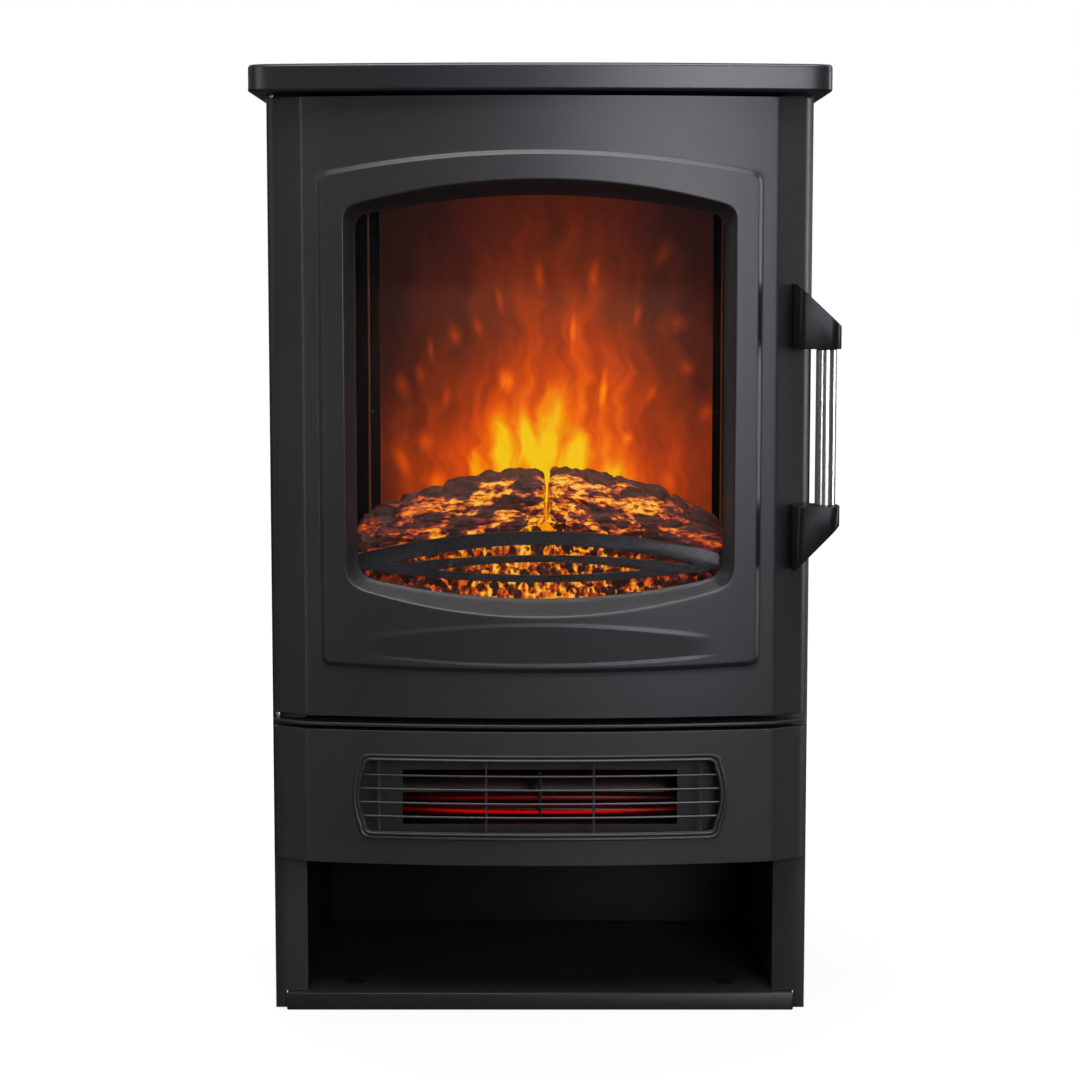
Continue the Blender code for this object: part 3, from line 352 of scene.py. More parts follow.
# %% Coated and metal finishes
def coated(name, colour, roughness, grain=900.0, depth=0.00014, contrast=0.34, sheen=0.5):
    """Opaque coat or moulding: grain in its bump, and a little of it in its colour and gloss."""
    finish, tree, shader = new_finish(name)
    group = use_group(tree, GRAIN, Grain_Scale=grain)
    dark, light = shaded_by(colour, 1 - contrast), shaded_by(colour, 1 + contrast)
    plug(tree, shader, {"Base Color": blend_colour(tree, group["Tone"], dark, light),
                        "Roughness": scaled(tree, group["Tone"], 0.10, roughness - 0.05),
                        "Normal": bump(tree, group["Height"], 0.6, depth), "Specular IOR Level": sheen})
    return finish


def metal(name, colour, roughness, stretch=(900.0, 900.0, 12.0), depth=0.00002, spread_of_gloss=0.12):
    finish, tree, shader = new_finish(name)
    group = use_group(tree, BRUSHING, Stretch=stretch)
    plug(tree, shader, {"Base Color": blend_colour(tree, group["Tone"], colour, shaded_by(colour, 0.86)),
                        "Roughness": scaled(tree, group["Tone"], spread_of_gloss, roughness),
                        "Normal": bump(tree, group["Height"], 0.5, depth), "Metallic": 1.0})
    return finish


POWDER_COAT = coated("powder_coat", (0.016, 0.016, 0.0165, 1), 0.42)
DOOR_COAT = coated("door_coat", (0.0160, 0.0160, 0.0178, 1), 0.38, grain=1100.0, depth=0.00008)
BLACK_BOARD = coated("black_board", (0.012, 0.012, 0.0125, 1), 0.45, grain=500.0, depth=0.00010)
SLAB_COAT = coated("slab_coat", (0.014, 0.014, 0.016, 1), 0.31, grain=1100.0, depth=0.00006)
DARK_SHEET = coated("dark_sheet", (0.005, 0.005, 0.0053, 1), 0.50, sheen=0.25)
HANDLE_BLACK = coated("handle_black", (0.006, 0.006, 0.0068, 1), 0.30, grain=700.0, depth=0.00004, sheen=0.18)
PANEL_BLACK = coated("panel_black", (0.016, 0.016, 0.017, 1), 0.50, grain=1400.0, depth=0.00010)
WIRE_BLACK = coated("wire_enamel", (0.035, 0.035, 0.037, 1), 0.30, grain=1500.0, depth=0.00003)
# The grate's black enamel is lifted to a lighter blue-grey: its own dark colour plus painted light for the
# light it catches in the firebox.
GRATE_ENAMEL_PAINTED_LIGHT = coated("grate_enamel", (0.030, 0.031, 0.037, 1), 0.28, grain=800.0, depth=0.00006)
CERAMIC = coated("unglazed_ceramic", (0.62, 0.60, 0.55, 1), 0.75, grain=1800.0, depth=0.00008)
LAMINATE = coated("green_laminate", (0.02, 0.13, 0.055, 1), 0.35, grain=2500.0, depth=0.00001)
BRIGHT_STEEL = metal("bright_steel", (0.80, 0.79, 0.78, 1), 0.22, (700.0, 700.0, 8.0), 0.00000006, 0.05)
ZINC = metal("zinc_plate", (0.58, 0.58, 0.60, 1), 0.28)
# The reflector's aluminium is given a near-black warm colour: painted shade for the dim hollow behind the
# grille.
REFLECTOR_IN_PAINTED_SHADE = metal("rolled_aluminium", (0.060, 0.052, 0.043, 1), 0.40, (14.0, 900.0, 900.0))
print("finishes so far:", len(bpy.data.materials))

# %% [markdown]
# ## The bowed plan section
#
# Seen from above, the door and the heater front share one line: a shallow bow in the middle and a straight
# chamfer at each side, down to a thin edge. In the crease between them the slope changes evenly over a few
# millimetres, so it shows as one thin line of light.

# %% Plan section
CHAMFER_X = 0.209
CHAMFER_DEPTH = 0.024
EDGE_DEPTH = 0.0065
BOW_CENTRE = 0.043
CREASE_RADIUS = 0.0018


def fascia_y(x):
    side = abs(x)
    bow_rise = BOW_CENTRE - CHAMFER_DEPTH
    past = side - CHAMFER_X
    bow_slope = 2 * bow_rise / CHAMFER_X
    chamfer_slope = (CHAMFER_DEPTH - EDGE_DEPTH) / (FASCIA_HALF - CHAMFER_X)
    if abs(past) < CREASE_RADIUS:
        lift = (chamfer_slope - bow_slope) * (past + CREASE_RADIUS) ** 2 / (4 * CREASE_RADIUS)
        return FLANGE_Y - CHAMFER_DEPTH + bow_slope * past + lift
    if past < 0:
        return FLANGE_Y - BOW_CENTRE + bow_rise * (side / CHAMFER_X) ** 2
    return FLANGE_Y - CHAMFER_DEPTH + chamfer_slope * past


# %% [markdown]
# ## Rings: one way to make a window in a curved front
#
# The window, the raised field round it and the door's own outline are nested shapes. If each is drawn with
# the same number of points, the skin between two of them is a simple strip of quads. A ring is a list of
# (x, z) pairs, and the depth comes from the plan section, so every ring lies on the bow by itself.

# %% Rings
ARC_STEPS = 72
SIDE_STEPS = 44
CORNER_STEPS = 8
STRIP_STEPS = (0.0006, 0.0012, 0.0018, 0.006, 0.012, 0.018, 0.024)


def quarter(start, corner, end):
    """Corner curve from start to end that leaves along the lines to the corner."""
    start, corner, end = Vector(start), Vector(corner), Vector(end)
    points = []
    for t in spread(0, 1, CORNER_STEPS):
        points.append(tuple((1 - t) ** 2 * start + 2 * t * (1 - t) * corner + t * t * end))
    return points


def arched_ring(half, crown, corner_top, corner_bottom, foot, radius, bulge=0.0, top_radius=None):
    """Closed ring, anticlockwise from the lower left: arched top, sagging foot, sides that may bulge."""
    top_radius = radius if top_radius is None else top_radius
    inner, top_inner = half - radius, half - top_radius
    low, high = corner_bottom + radius, corner_top - top_radius

    def top(x):
        return crown - (crown - corner_top) * (x / half) ** 2

    def bottom(x):
        return foot + (corner_bottom - foot) * (x / half) ** 2

    def side(z):
        return half + bulge * (1 - (2 * (z - low) / (high - low) - 1) ** 2)

    right = quarter((inner, bottom(inner)), (half, corner_bottom), (half, low))[1:]
    right += [(side(z), z) for z in spread(low, high, SIDE_STEPS)][1:]
    right += quarter((half, high), (half, corner_top), (top_inner, top(top_inner)))[1:]
    under = [(x, bottom(x)) for x in spread(-inner, inner, ARC_STEPS)]
    over = [(x, top(x)) for x in spread(top_inner, -top_inner, ARC_STEPS)][1:]
    left = [(-x, z) for x, z in reversed(right)][1:]
    return under + right + over + left


def block_ring(low, high):
    """The square-cornered ring between the two creases."""
    return arched_ring(CHAMFER_X, high, high, low, low, 0.0)


def toward(first, second, distance=None, share=None):
    """Points between two rings, a fixed distance from the first or a share of the way."""
    ring = []
    for a, b in zip(first, second):
        a, b = Vector(a), Vector(b)
        part = share if distance is None else distance / max((b - a).length, 1e-9)
        ring.append(tuple(a.lerp(b, part)))
    return ring


def on_bow(ring, lift=0.0):
    """A ring laid on the plan section, raised by a height or by a height rule."""
    rule = lift if callable(lift) else (lambda x, z: lift)
    return [(x, fascia_y(x) - rule(x, z), z) for x, z in ring]


def at_depth(ring, y):
    return [(x, y, z) for x, z in ring]


def strip_xs(half):
    """Columns from the crease to the outer edge of the section."""
    return [CHAMFER_X] + [CHAMFER_X + step for step in STRIP_STEPS if CHAMFER_X + step < half] + [half]


def chamfer_strips(shape, low, high, half, back=0.0):
    ring = block_ring(low, high)
    heights = sorted({round(z, 7) for x, z in ring if x > CHAMFER_X - 1e-6})
    for side in (-1, 1):
        grid(shape, [[(side * x, fascia_y(x) + back, z) for z in heights] for x in strip_xs(half)])
    return heights


def outer_path(low, high, half, heights):
    """The outline of the whole front in order, with the vertices that the block and the strips have."""
    flank = strip_xs(half)[1:]
    across = flank[::-1]
    bows = spread(-CHAMFER_X, CHAMFER_X, ARC_STEPS)
    path = [(-x, low) for x in across] + [(x, low) for x in bows] + [(x, low) for x in flank]
    path += [(half, z) for z in heights[1:-1]]
    path += [(x, high) for x in across] + [(-x, high) for x in bows] + [(-x, high) for x in flank]
    return path + [(-half, z) for z in reversed(heights[1:-1])]


def moulded_front(name, front_rings, opening, frame_ring, low, high, rear_y, wall):
    """Closed shell: the front skin, the walls behind its outline and round its opening, the inner skin."""
    shape = bmesh.new()
    inner_low, inner_high, inner_half = low + wall, high - wall, FASCIA_HALF - wall
    frame_row = on_bow(frame_ring, -wall)
    grid(shape, [*front_rings, on_bow(block_ring(low, high))], closed=True)
    heights = chamfer_strips(shape, low, high, FASCIA_HALF)
    grid(shape, [frame_row, on_bow(block_ring(inner_low, inner_high), -wall)], closed=True)
    inner_heights = chamfer_strips(shape, inner_low, inner_high, inner_half, wall)
    outside = outer_path(low, high, FASCIA_HALF, heights)
    inside = outer_path(inner_low, inner_high, inner_half, inner_heights)
    rows = [on_bow(outside), at_depth(outside, rear_y), at_depth(inside, rear_y), on_bow(inside, -wall)]
    grid(shape, rows, closed=True)
    grid(shape, [frame_row, *opening], closed=True)
    weld(shape, 0.00001)
    piece = new_piece(name, shape)
    round_edges(piece, 0.0005, 2, 62)
    return piece


# %% [markdown]
# ## The door
#
# The door is one moulding. From the glass outwards it has a thin lip, a deep sloping bevel, a rounded rim, a
# raised field, a slope down to the plain front, and then the bow. Under the window lies a shallow scoop, lens
# shaped: it steps forward at its upper line, leans back, and steps forward again at its lower line.

# %% Door shapes
# half width, crown, top corners, bottom corners, foot, corner radius
WINDOW_INNER = (0.163, 0.7381, 0.7196, 0.4005, 0.3800, 0.016)
WINDOW_OUTER = (0.1778, 0.7502, 0.7307, 0.3915, 0.3677, 0.020)
RELIEF = (0.1916, 0.7725, 0.7534, 0.3256, 0.3210, 0.006)
INNER_TOP_RADIUS, OUTER_TOP_RADIUS = 0.012, 0.011
RELIEF_HEIGHT = 0.003
RELIEF_SLOPE = 0.0035
SLOPE_END = RELIEF_SLOPE + 0.0006
RIM_ROUNDING = 0.0016
BEVEL_REAR_Y = FLANGE_Y - 0.0128
BEVEL_FRONT_Y = FLANGE_Y - 0.046
DOOR_WALL = 0.0025
GLASS_LEDGE = 0.0145
SCOOP_HALF = 0.160
SCOOP_DEPTH = 0.0010


def grown(shape, by):
    half, crown, corner_top, corner_bottom, foot, radius = shape
    return (half + by, crown + by, corner_top + by, corner_bottom - by, foot - by, radius + by)


def scoop(x, z):
    """Height of the lens-shaped scoop above the raised field."""
    share = (x / SCOOP_HALF) ** 2
    upper = 0.3605 - 0.0135 * share
    lower = 0.3246 + 0.0084 * share
    fade = 1 - smooth_step(0.118, SCOOP_HALF, abs(x))
    enter = smooth_step(upper + 0.0014, upper - 0.0014, z)
    leave = smooth_step(lower - 0.0010, lower + 0.0010, z)
    lean = 1 - 2 * (upper - z) / (upper - lower)
    return SCOOP_DEPTH * fade * enter * leave * max(-1.0, min(1.0, lean))


def field_lift(x, z):
    return RELIEF_HEIGHT + scoop(x, z)


# %% The door's skin
def bevel_point(inner, outer):
    """Where the sloping bevel from an inner point meets the raised field."""
    near, far = 0.0, 1.3
    for _ in range(30):
        share = (near + far) / 2
        x = inner[0] + share * (outer[0] - inner[0])
        y = BEVEL_REAR_Y + share * (BEVEL_FRONT_Y - BEVEL_REAR_Y)
        near, far = (share, far) if y > fascia_y(x) - RELIEF_HEIGHT else (near, share)
    return share


def bevel_ring(inner, outer, shares, part, back=0.0):
    ring = []
    for a, b, share in zip(inner, outer, shares):
        t = share * part
        y = BEVEL_REAR_Y + t * (BEVEL_FRONT_Y - BEVEL_REAR_Y) + back
        ring.append((a[0] + t * (b[0] - a[0]), y, a[1] + t * (b[1] - a[1])))
    return ring


def make_door():
    inner = arched_ring(*WINDOW_INNER, top_radius=INNER_TOP_RADIUS)
    outer = arched_ring(*WINDOW_OUTER, top_radius=OUTER_TOP_RADIUS)
    relief, block = arched_ring(*RELIEF), block_ring(DOOR_LOW.z, DOOR_HIGH.z)
    shares = [bevel_point(a, b) for a, b in zip(inner, outer)]
    rim = [(x, z) for x, _, z in bevel_ring(inner, outer, shares, 1.0)]
    rings = [at_depth(inner, BEVEL_REAR_Y), at_depth(inner, BEVEL_REAR_Y - 0.0012)]
    rings += [bevel_ring(inner, outer, shares, part, back) for part, back in
              ((0.07, -0.0004), (0.10, 0), (0.35, 0), (0.62, 0), (0.86, 0), (0.93, 0.0001), (0.975, 0.0004))]
    for distance, drop in ((0.0002, 0.00045), (0.0008, 0.00012), (RIM_ROUNDING, 0.0)):
        rings.append(on_bow(toward(rim, relief, distance), RELIEF_HEIGHT - drop))
    start = toward(rim, relief, RIM_ROUNDING)
    rings += [on_bow(toward(start, relief, share=share), field_lift) for share in spread(0.02, 0.985, 52)]
    slope = ((0.0, 0.00012), (0.0004, 0.0004), (0.5 * RELIEF_SLOPE, 0.5 * RELIEF_HEIGHT),
             (RELIEF_SLOPE - 0.0004, RELIEF_HEIGHT - 0.0004), (RELIEF_SLOPE, RELIEF_HEIGHT - 0.0001),
             (SLOPE_END, RELIEF_HEIGHT))
    rings += [on_bow(arched_ring(*grown(RELIEF, distance)), RELIEF_HEIGHT - drop) for distance, drop in slope]
    base = arched_ring(*grown(RELIEF, SLOPE_END))
    outward = (0.1, 0.22, 0.36, 0.5, 0.64, 0.76, 0.86, 0.91, 0.955)
    rings += [on_bow(toward(base, block, share=share)) for share in outward]
    frame_ring = arched_ring(*grown(WINDOW_INNER, GLASS_LEDGE))
    opening = [at_depth(frame_ring, BEVEL_REAR_Y), at_depth(inner, BEVEL_REAR_Y)]
    piece = moulded_front("door_moulding", rings, opening, frame_ring, DOOR_LOW.z, DOOR_HIGH.z, DOOR_HIGH.y,
                          DOOR_WALL)
    return place_piece(piece, DOOR_COAT, "door_fascia")


door = make_door()
print("door:", len(door.data.polygons), "faces")

# %% [markdown]
# ## Glass, clips and the catch
#
# The pane is flat and lies behind the moulding, held by a folded strip at each side. Real glass is left
# plain: a Principled shader with full transmission. Its roughness varies a little, where hands wiped it.

# %% Window
def make_glass():
    finish, tree, shader = new_finish("window_glass")
    wipe = noise_value(tree, stretched(tree, (9.0, 9.0, 3.0)), 1.0, 4.0, 0.6)
    plug(tree, shader, {"Base Color": (0.96, 0.95, 0.94, 1), "Transmission Weight": 1.0, "IOR": 1.45,
                        "Roughness": product(tree, wipe, 0.004)})
    return finish


refine("window_glass", make_glass(), 0).data.shade_flat()
refine("glass_retainer_left glass_retainer_right strike_plate", ZINC, 0.0002)
refine("door_magnet", PANEL_BLACK, 0.0006)
refine("hinge_pin_upper hinge_pin_lower", ZINC, 0.0002)
print("window, clips, catch and hinge pins made")

# %% [markdown]
# ## Handle
#
# A bright tube stands between two black wedge brackets. The brackets are die castings with generous corners.
# The tube is turned, with a small chamfer at each end.

# %% Handle
def make_bar():
    low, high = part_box("handle_bar")
    centre, radius, chamfer = (low + high) / 2, (high.x - low.x) / 2, 0.0006
    profile = ((0.0, low.z), (radius - chamfer, low.z), (radius, low.z + chamfer), (radius, high.z - chamfer),
               (radius - chamfer, high.z), (0.0, high.z))
    piece = closed_piece("bright_bar", turned_rows(profile, 64, centre.x, centre.y))
    return place_piece(shade(piece, 30), BRIGHT_STEEL, "handle_bar")


make_bar()
refine("handle_bracket_upper handle_bracket_lower", HANDLE_BLACK, 0.0014, 4, 35)
print("handle made")

# %% [markdown]
# ## Slab, sides, rail and base
#
# The top is a painted board with a bowed front, so its outline is drawn once and pulled up, and the Bevel
# modifier rounds it. The sides are folded sheet, with a radius only at the sheet's edge and outside the bend.

# %% Slab
def make_slab():
    bow, corner = 0.015, 0.020
    bow_half = SLAB_HIGH.x - corner
    bow_edge_y = SLAB_LOW.y + bow
    side_y = bow_edge_y + 0.013
    front = [(x, SLAB_LOW.y + bow * (x / bow_half) ** 2) for x in spread(-bow_half, bow_half, 60)]
    right = quarter((bow_half, bow_edge_y), (SLAB_HIGH.x, bow_edge_y + 0.003), (SLAB_HIGH.x, side_y))
    left = [(-x, y) for x, y in reversed(right)]
    rear = [(SLAB_HIGH.x, SLAB_HIGH.y), (SLAB_LOW.x, SLAB_HIGH.y)]
    outline = left[:-1] + front + right[1:] + rear
    shape = bmesh.new()
    face = shape.faces.new([shape.verts.new((x, y, SLAB_LOW.z)) for x, y in outline])
    pulled = bmesh.ops.extrude_face_region(shape, geom=[face])["geom"]
    lift = [item for item in pulled if isinstance(item, bmesh.types.BMVert)]
    bmesh.ops.translate(shape, verts=lift, vec=(0, 0, SLAB_HIGH.z - SLAB_LOW.z))
    bmesh.ops.recalc_face_normals(shape, faces=shape.faces)
    piece = new_piece("top_slab", shape)
    round_edges(piece, 0.0032, 5, 60)
    return place_piece(piece, SLAB_COAT, "top_plate")


make_slab()
refine("side_panel_left side_panel_right", POWDER_COAT, 0.00045, 3)
refine("rear_panel", POWDER_COAT, 0)
refine("mid_rail", POWDER_COAT, 0.0008, 3)
refine("base_board", BLACK_BOARD, 0.0007, 2)
refine("niche_liner niche_back_wall", DARK_SHEET, 0.0003)
refine("floor_cap_left floor_cap_right", HANDLE_BLACK, 0)
refine("cable_gland", PANEL_BLACK, 0.0003)
print("slab, cabinet and base made")

# %% [markdown]
# ## Heater front
#
# The front under the rail is the same bow with a long opening. Its surround is a separate moulded rim with
# two soft ridges, so its section is drawn once as a small closed profile and carried round the opening.

# %% Heater front and its rim
GRILLE_Z = 0.2046
GRILLE_RISE = 0.03175
GRILLE_HALF = 0.1555
RIM_WIDTH = 0.0070


def grille_ring(by=0.0):
    half, rise = GRILLE_HALF + by, GRILLE_RISE + by
    top, bottom = GRILLE_Z + rise, GRILLE_Z - rise
    return arched_ring(half, top, top, bottom, bottom, 0.006 + by * 0.6, bulge=0.0055)


def make_heater_front():
    wall = 0.0015
    opening = grille_ring()
    block = block_ring(HEATER_LOW.z, HEATER_HIGH.z)
    rings = [on_bow(opening, -wall), on_bow(opening)]
    rings += [on_bow(toward(opening, block, share=share)) for share in (0.1, 0.3, 0.5, 0.7, 0.85, 0.93, 0.97)]
    back = [on_bow(opening, -wall)]
    piece = moulded_front("heater_moulding", rings, back, opening, HEATER_LOW.z, HEATER_HIGH.z, HEATER_HIGH.y,
                          wall)
    return place_piece(piece, POWDER_COAT, "heater_fascia")


def make_rim():
    profile = ((0.0005, 0.0003), (0.0005, 0.0019), (0.0009, 0.0027), (0.0018, 0.0030), (0.0026, 0.0027),
               (0.0031, 0.0018), (0.0036, 0.0013), (0.0042, 0.0016), (0.0050, 0.0022), (0.0059, 0.0022),
               (0.0066, 0.0013), (RIM_WIDTH, 0.0003))
    rows = [on_bow(grille_ring(out), height) for out, height in profile]
    piece = closed_piece("grille_rim", [*rows, rows[0]])
    return place_piece(shade(piece, 50), POWDER_COAT, "heater_bezel")


make_heater_front()
make_rim()
print("heater front and rim made")

# %% [markdown]
# ## The wire grille, by Geometry Nodes
#
# Four wires cross the opening and follow the bow, and four upright wires are welded behind them. That is a
# rule and not a drawing: a row of points, a line on each, every point pushed onto the bow, and a round
# section swept along it. The tree has its sizes as named inputs, so another grille is only other numbers.

# %% Geometry Nodes helpers
def new_geometry_tree(name, inputs):
    """Tree with a geometry input, the named inputs and a geometry output."""
    tree = bpy.data.node_groups.new(name, "GeometryNodeTree")
    tree.interface.new_socket("Geometry", in_out="INPUT", socket_type="NodeSocketGeometry")
    for label, (kind, value) in inputs.items():
        socket = tree.interface.new_socket(label, in_out="INPUT", socket_type="NodeSocket" + kind)
        if value is not None:
            socket.default_value = value
    tree.interface.new_socket("Geometry", in_out="OUTPUT", socket_type="NodeSocketGeometry")
    return tree, tree.nodes.new("NodeGroupInput").outputs, tree.nodes.new("NodeGroupOutput").inputs


def run_tree(name, tree, base, **inputs):
    """Runs a tree on a base mesh and returns the result as a plain piece."""
    piece = new_piece(name, base)
    modifier = piece.modifiers.new(name, "NODES")
    modifier.node_group = tree
    for item in tree.interface.items_tree:
        key = item.name.replace(" ", "_")
        if item.in_out == "INPUT" and key in inputs:
            modifier[item.identifier] = inputs[key]
    return bake(piece)


def finish_tree(tree, geometry, material, output):
    """The tree's end: real geometry, smooth, in its material."""
    real = add_node(tree, "GeometryNodeRealizeInstances", {0: geometry}).outputs[0]
    smooth = add_node(tree, "GeometryNodeSetShadeSmooth", {"Geometry": real}).outputs[0]
    coat = add_node(tree, "GeometryNodeSetMaterial", {"Geometry": smooth, "Material": material})
    tree.links.new(coat.outputs[0], output)


# %% The grille tree
def bowed(tree, curves, flange, back):
    """Sets every point's y from the bow, at its own x."""
    x, _, z = axes_of(tree, add_node(tree, "GeometryNodeInputPosition").outputs[0])
    share = calc(tree, "DIVIDE", x, CHAMFER_X)
    rise = product(tree, share, share, BOW_CENTRE - CHAMFER_DEPTH)
    y = calc(tree, "ADD", calc(tree, "ADD", rise, flange), back)
    inputs = {"Geometry": curves, "Position": vector(tree, x, y, z)}
    return add_node(tree, "GeometryNodeSetPosition", inputs).outputs[0]


def line_set(tree, count, first, step, start, end, points):
    """Copies of a straight line on a row of points."""
    row = add_node(tree, "GeometryNodeMeshLine", {"Count": count, "Start Location": first, "Offset": step})
    line = add_node(tree, "GeometryNodeCurvePrimitiveLine", {"Start": start, "End": end})
    fine = add_node(tree, "GeometryNodeResampleCurve", {"Curve": line.outputs[0], "Count": points})
    copies = add_node(tree, "GeometryNodeInstanceOnPoints",
                      {"Points": row.outputs[0], "Instance": fine.outputs[0]})
    return add_node(tree, "GeometryNodeRealizeInstances", {0: copies.outputs[0]}).outputs[0]


def make_grille():
    wire_radius = 0.0011
    behind = 0.0015 + 0.0003 + wire_radius
    tree, given, output = new_geometry_tree("bowed_wire_grille", {
        "Wire Radius": ("Float", wire_radius), "Row Pitch": ("Float", 0.0125), "Rows": ("Int", 4),
        "Column Pitch": ("Float", 0.096), "Columns": ("Int", 4), "Reach": ("Float", 0.165),
        "Rise": ("Float", 0.037), "Centre Height": ("Float", 0.2), "Front": ("Float", -0.168),
        "Material": ("Material", None)})

    def first_of(count, pitch):
        return product(tree, calc(tree, "SUBTRACT", count, 1.0), pitch, -0.5)

    radius, reach, rise = given["Wire Radius"], given["Reach"], given["Rise"]
    row_pitch, column_pitch, height = given["Row Pitch"], given["Column Pitch"], given["Centre Height"]
    low = calc(tree, "ADD", first_of(given["Rows"], row_pitch), height)
    rows = line_set(tree, given["Rows"], vector(tree, z=low), vector(tree, z=row_pitch),
                    vector(tree, product(tree, reach, -1.0)), vector(tree, reach), 60)
    left = first_of(given["Columns"], column_pitch)
    columns = line_set(tree, given["Columns"], vector(tree, left, z=height), vector(tree, column_pitch),
                       vector(tree, z=product(tree, rise, -1.0)), vector(tree, z=rise), 4)
    both = add_node(tree, "GeometryNodeJoinGeometry")
    for curves, offset in ((rows, 0.0), (columns, product(tree, radius, 1.6))):
        tree.links.new(bowed(tree, curves, given["Front"], offset), both.inputs[0])
    section = add_node(tree, "GeometryNodeCurvePrimitiveCircle", {"Resolution": 12, "Radius": radius})
    wires = add_node(tree, "GeometryNodeCurveToMesh",
                     {"Curve": both.outputs[0], "Profile Curve": section.outputs[0], "Fill Caps": True})
    finish_tree(tree, wires.outputs[0], given["Material"], output["Geometry"])
    piece = run_tree("wire_grille", tree, bmesh.new(), Wire_Radius=wire_radius, Centre_Height=GRILLE_Z,
                     Front=FLANGE_Y - BOW_CENTRE + behind, Reach=GRILLE_HALF + 0.009, Material=WIRE_BLACK)
    return place_piece(piece, WIRE_BLACK, "heater_grille")


print("grille:", len(make_grille().data.polygons), "faces")

# %% [markdown]
# ## Quartz heater
#
# A quartz tube glows red along its thin coil and fades to its cold ends. The light is in the material.

# %% Heater
def glowing_tube(node, name, sag, colour, strength):
    """Dark quartz with a thin bright coil inside it, which sags a little in the middle of a long tube."""
    finish, tree, shader = new_finish(name)
    low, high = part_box(node)
    axes = axes_of(tree)
    share = calc(tree, "DIVIDE", axes[0], 0.085)
    droop = scaled(tree, product(tree, share, share), sag, (low.z + high.z) / 2 - sag)
    off = calc(tree, "ABSOLUTE", calc(tree, "SUBTRACT", axes[2], droop))
    coil = scaled(tree, calc(tree, "SINE", product(tree, axes[0], 2600.0)), 0.08, 0.92)
    fade = eased(tree, calc(tree, "ABSOLUTE", axes[0]), 0.050, 0.120, 1.0, 0.10)
    glow = product(tree, coil, fade, eased(tree, off, 0.0005, 0.0020, 1.0, 0.05))
    plug(tree, shader, {"Emission Color": blend_colour(tree, glow, BLACK, colour),
                        "Emission Strength": strength, "Specular IOR Level": 0.15,
                        "Base Color": (0.012, 0.002, 0.002, 1),
                        "Roughness": scaled(tree, noise_value(tree, object_place(tree), 200.0), 0.15, 0.2)})
    return refine(node, finish, 0.0004)


glowing_tube("quartz_tube_upper", "quartz_dim", 0.0, tint(150, 8, 6), 0.30)
glowing_tube("quartz_tube_lower", "quartz_bright", 0.0016, tint(235, 12, 8), 0.62)
refine("heater_baffle", coated("grey_sheet", (0.010, 0.0103, 0.0107, 1), 0.5), 0)
refine("heater_reflector", REFLECTOR_IN_PAINTED_SHADE, 0)
refine("tube_holder_left tube_holder_right thermal_cutout", CERAMIC, 0.0005)
refine("tube_support", DARK_SHEET, 0.0002)
print("heater made")

# %% [markdown]
# ## Firebox, grate and drive
#
# The box is dark folded sheet. At each side a strip with a rolled bead holds the acrylic flame screen, and
# the bead picks up the glow of the fire as a thin upright line.

# %% Firebox
refine("firebox_wall_left firebox_wall_right firebox_ceiling firebox_floor", DARK_SHEET, 0)


def edge_glow_finish():
    """Dark enamel that carries a faint amber light along a narrow bead."""
    finish, tree, shader = new_finish("lit_bead")
    # The amber light is painted into the emission: a painted reflection of the fire's glow, stronger low
    # down.
    low = eased(tree, axes_of(tree)[2], 0.42, 0.72, 1.0, 0.35, "LINEAR")
    glow = product(tree, low, scaled(tree, noise_value(tree, object_place(tree), 60.0), 0.6, 0.7))
    plug(tree, shader, {"Emission Color": blend_colour(tree, glow, BLACK, tint(100, 46, 18)),
                        "Emission Strength": 0.6, "Base Color": (0.02, 0.012, 0.008, 1), "Roughness": 0.3})
    return finish


LIT_BEAD = edge_glow_finish()


def make_bead(side, x):
    """Rolled bead on a clamp strip: an upright round rod, closed at its ends and sunk into the strip."""
    low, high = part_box("screen_clamp_" + side)
    radius, foot, head = 0.0009, low.z + 0.002, high.z - 0.002
    rows = turned_rows(((0.0, foot), (radius, foot), (radius, head), (0.0, head)), 10, x, low.y)
    piece = shade(closed_piece("clamp_bead_" + side, rows), 50)
    return place_piece(piece, LIT_BEAD, body="cabinet", slot="dark_sheet")


CLAMP_BLACK = coated("clamp_black", (0.004, 0.0035, 0.0035, 1), 0.55, sheen=0.1)
refine("screen_clamp_left screen_clamp_right", CLAMP_BLACK, 0.0004)
make_bead("left", -0.1562)
make_bead("right", 0.1660)
refine("fire_grate", GRATE_ENAMEL_PAINTED_LIGHT, 0.0013, 4, 35)
refine("flame_spinner flame_motor thermostat_body motor_bracket", ZINC, 0.0002)
refine("spinner_bush_left spinner_bush_right", PANEL_BLACK, 0.0003)
refine("ember_light_board flame_light_board power_board", LAMINATE, 0.0002)
print("firebox, grate and drive made")

# %% Controls
refine("control_panel", PANEL_BLACK, 0)
refine("rocker_flame rocker_low_heat rocker_high_heat", HANDLE_BLACK, 0.0007, 3)
refine("thermostat_knob", HANDLE_BLACK, 0.0004, 2, 50)
print("controls made")

# %% [markdown]
# ## Flames on the screen
#
# The flame effect is light thrown on the back of a sheet of acrylic. It is soft, it has no depth, and it is
# hottest low in the middle. One number says how hot each spot is: a fall-off upwards and to the sides, noise
# drawn out upwards for the tongues, and a few soft sparks that lean away. A colour ramp makes it a colour.

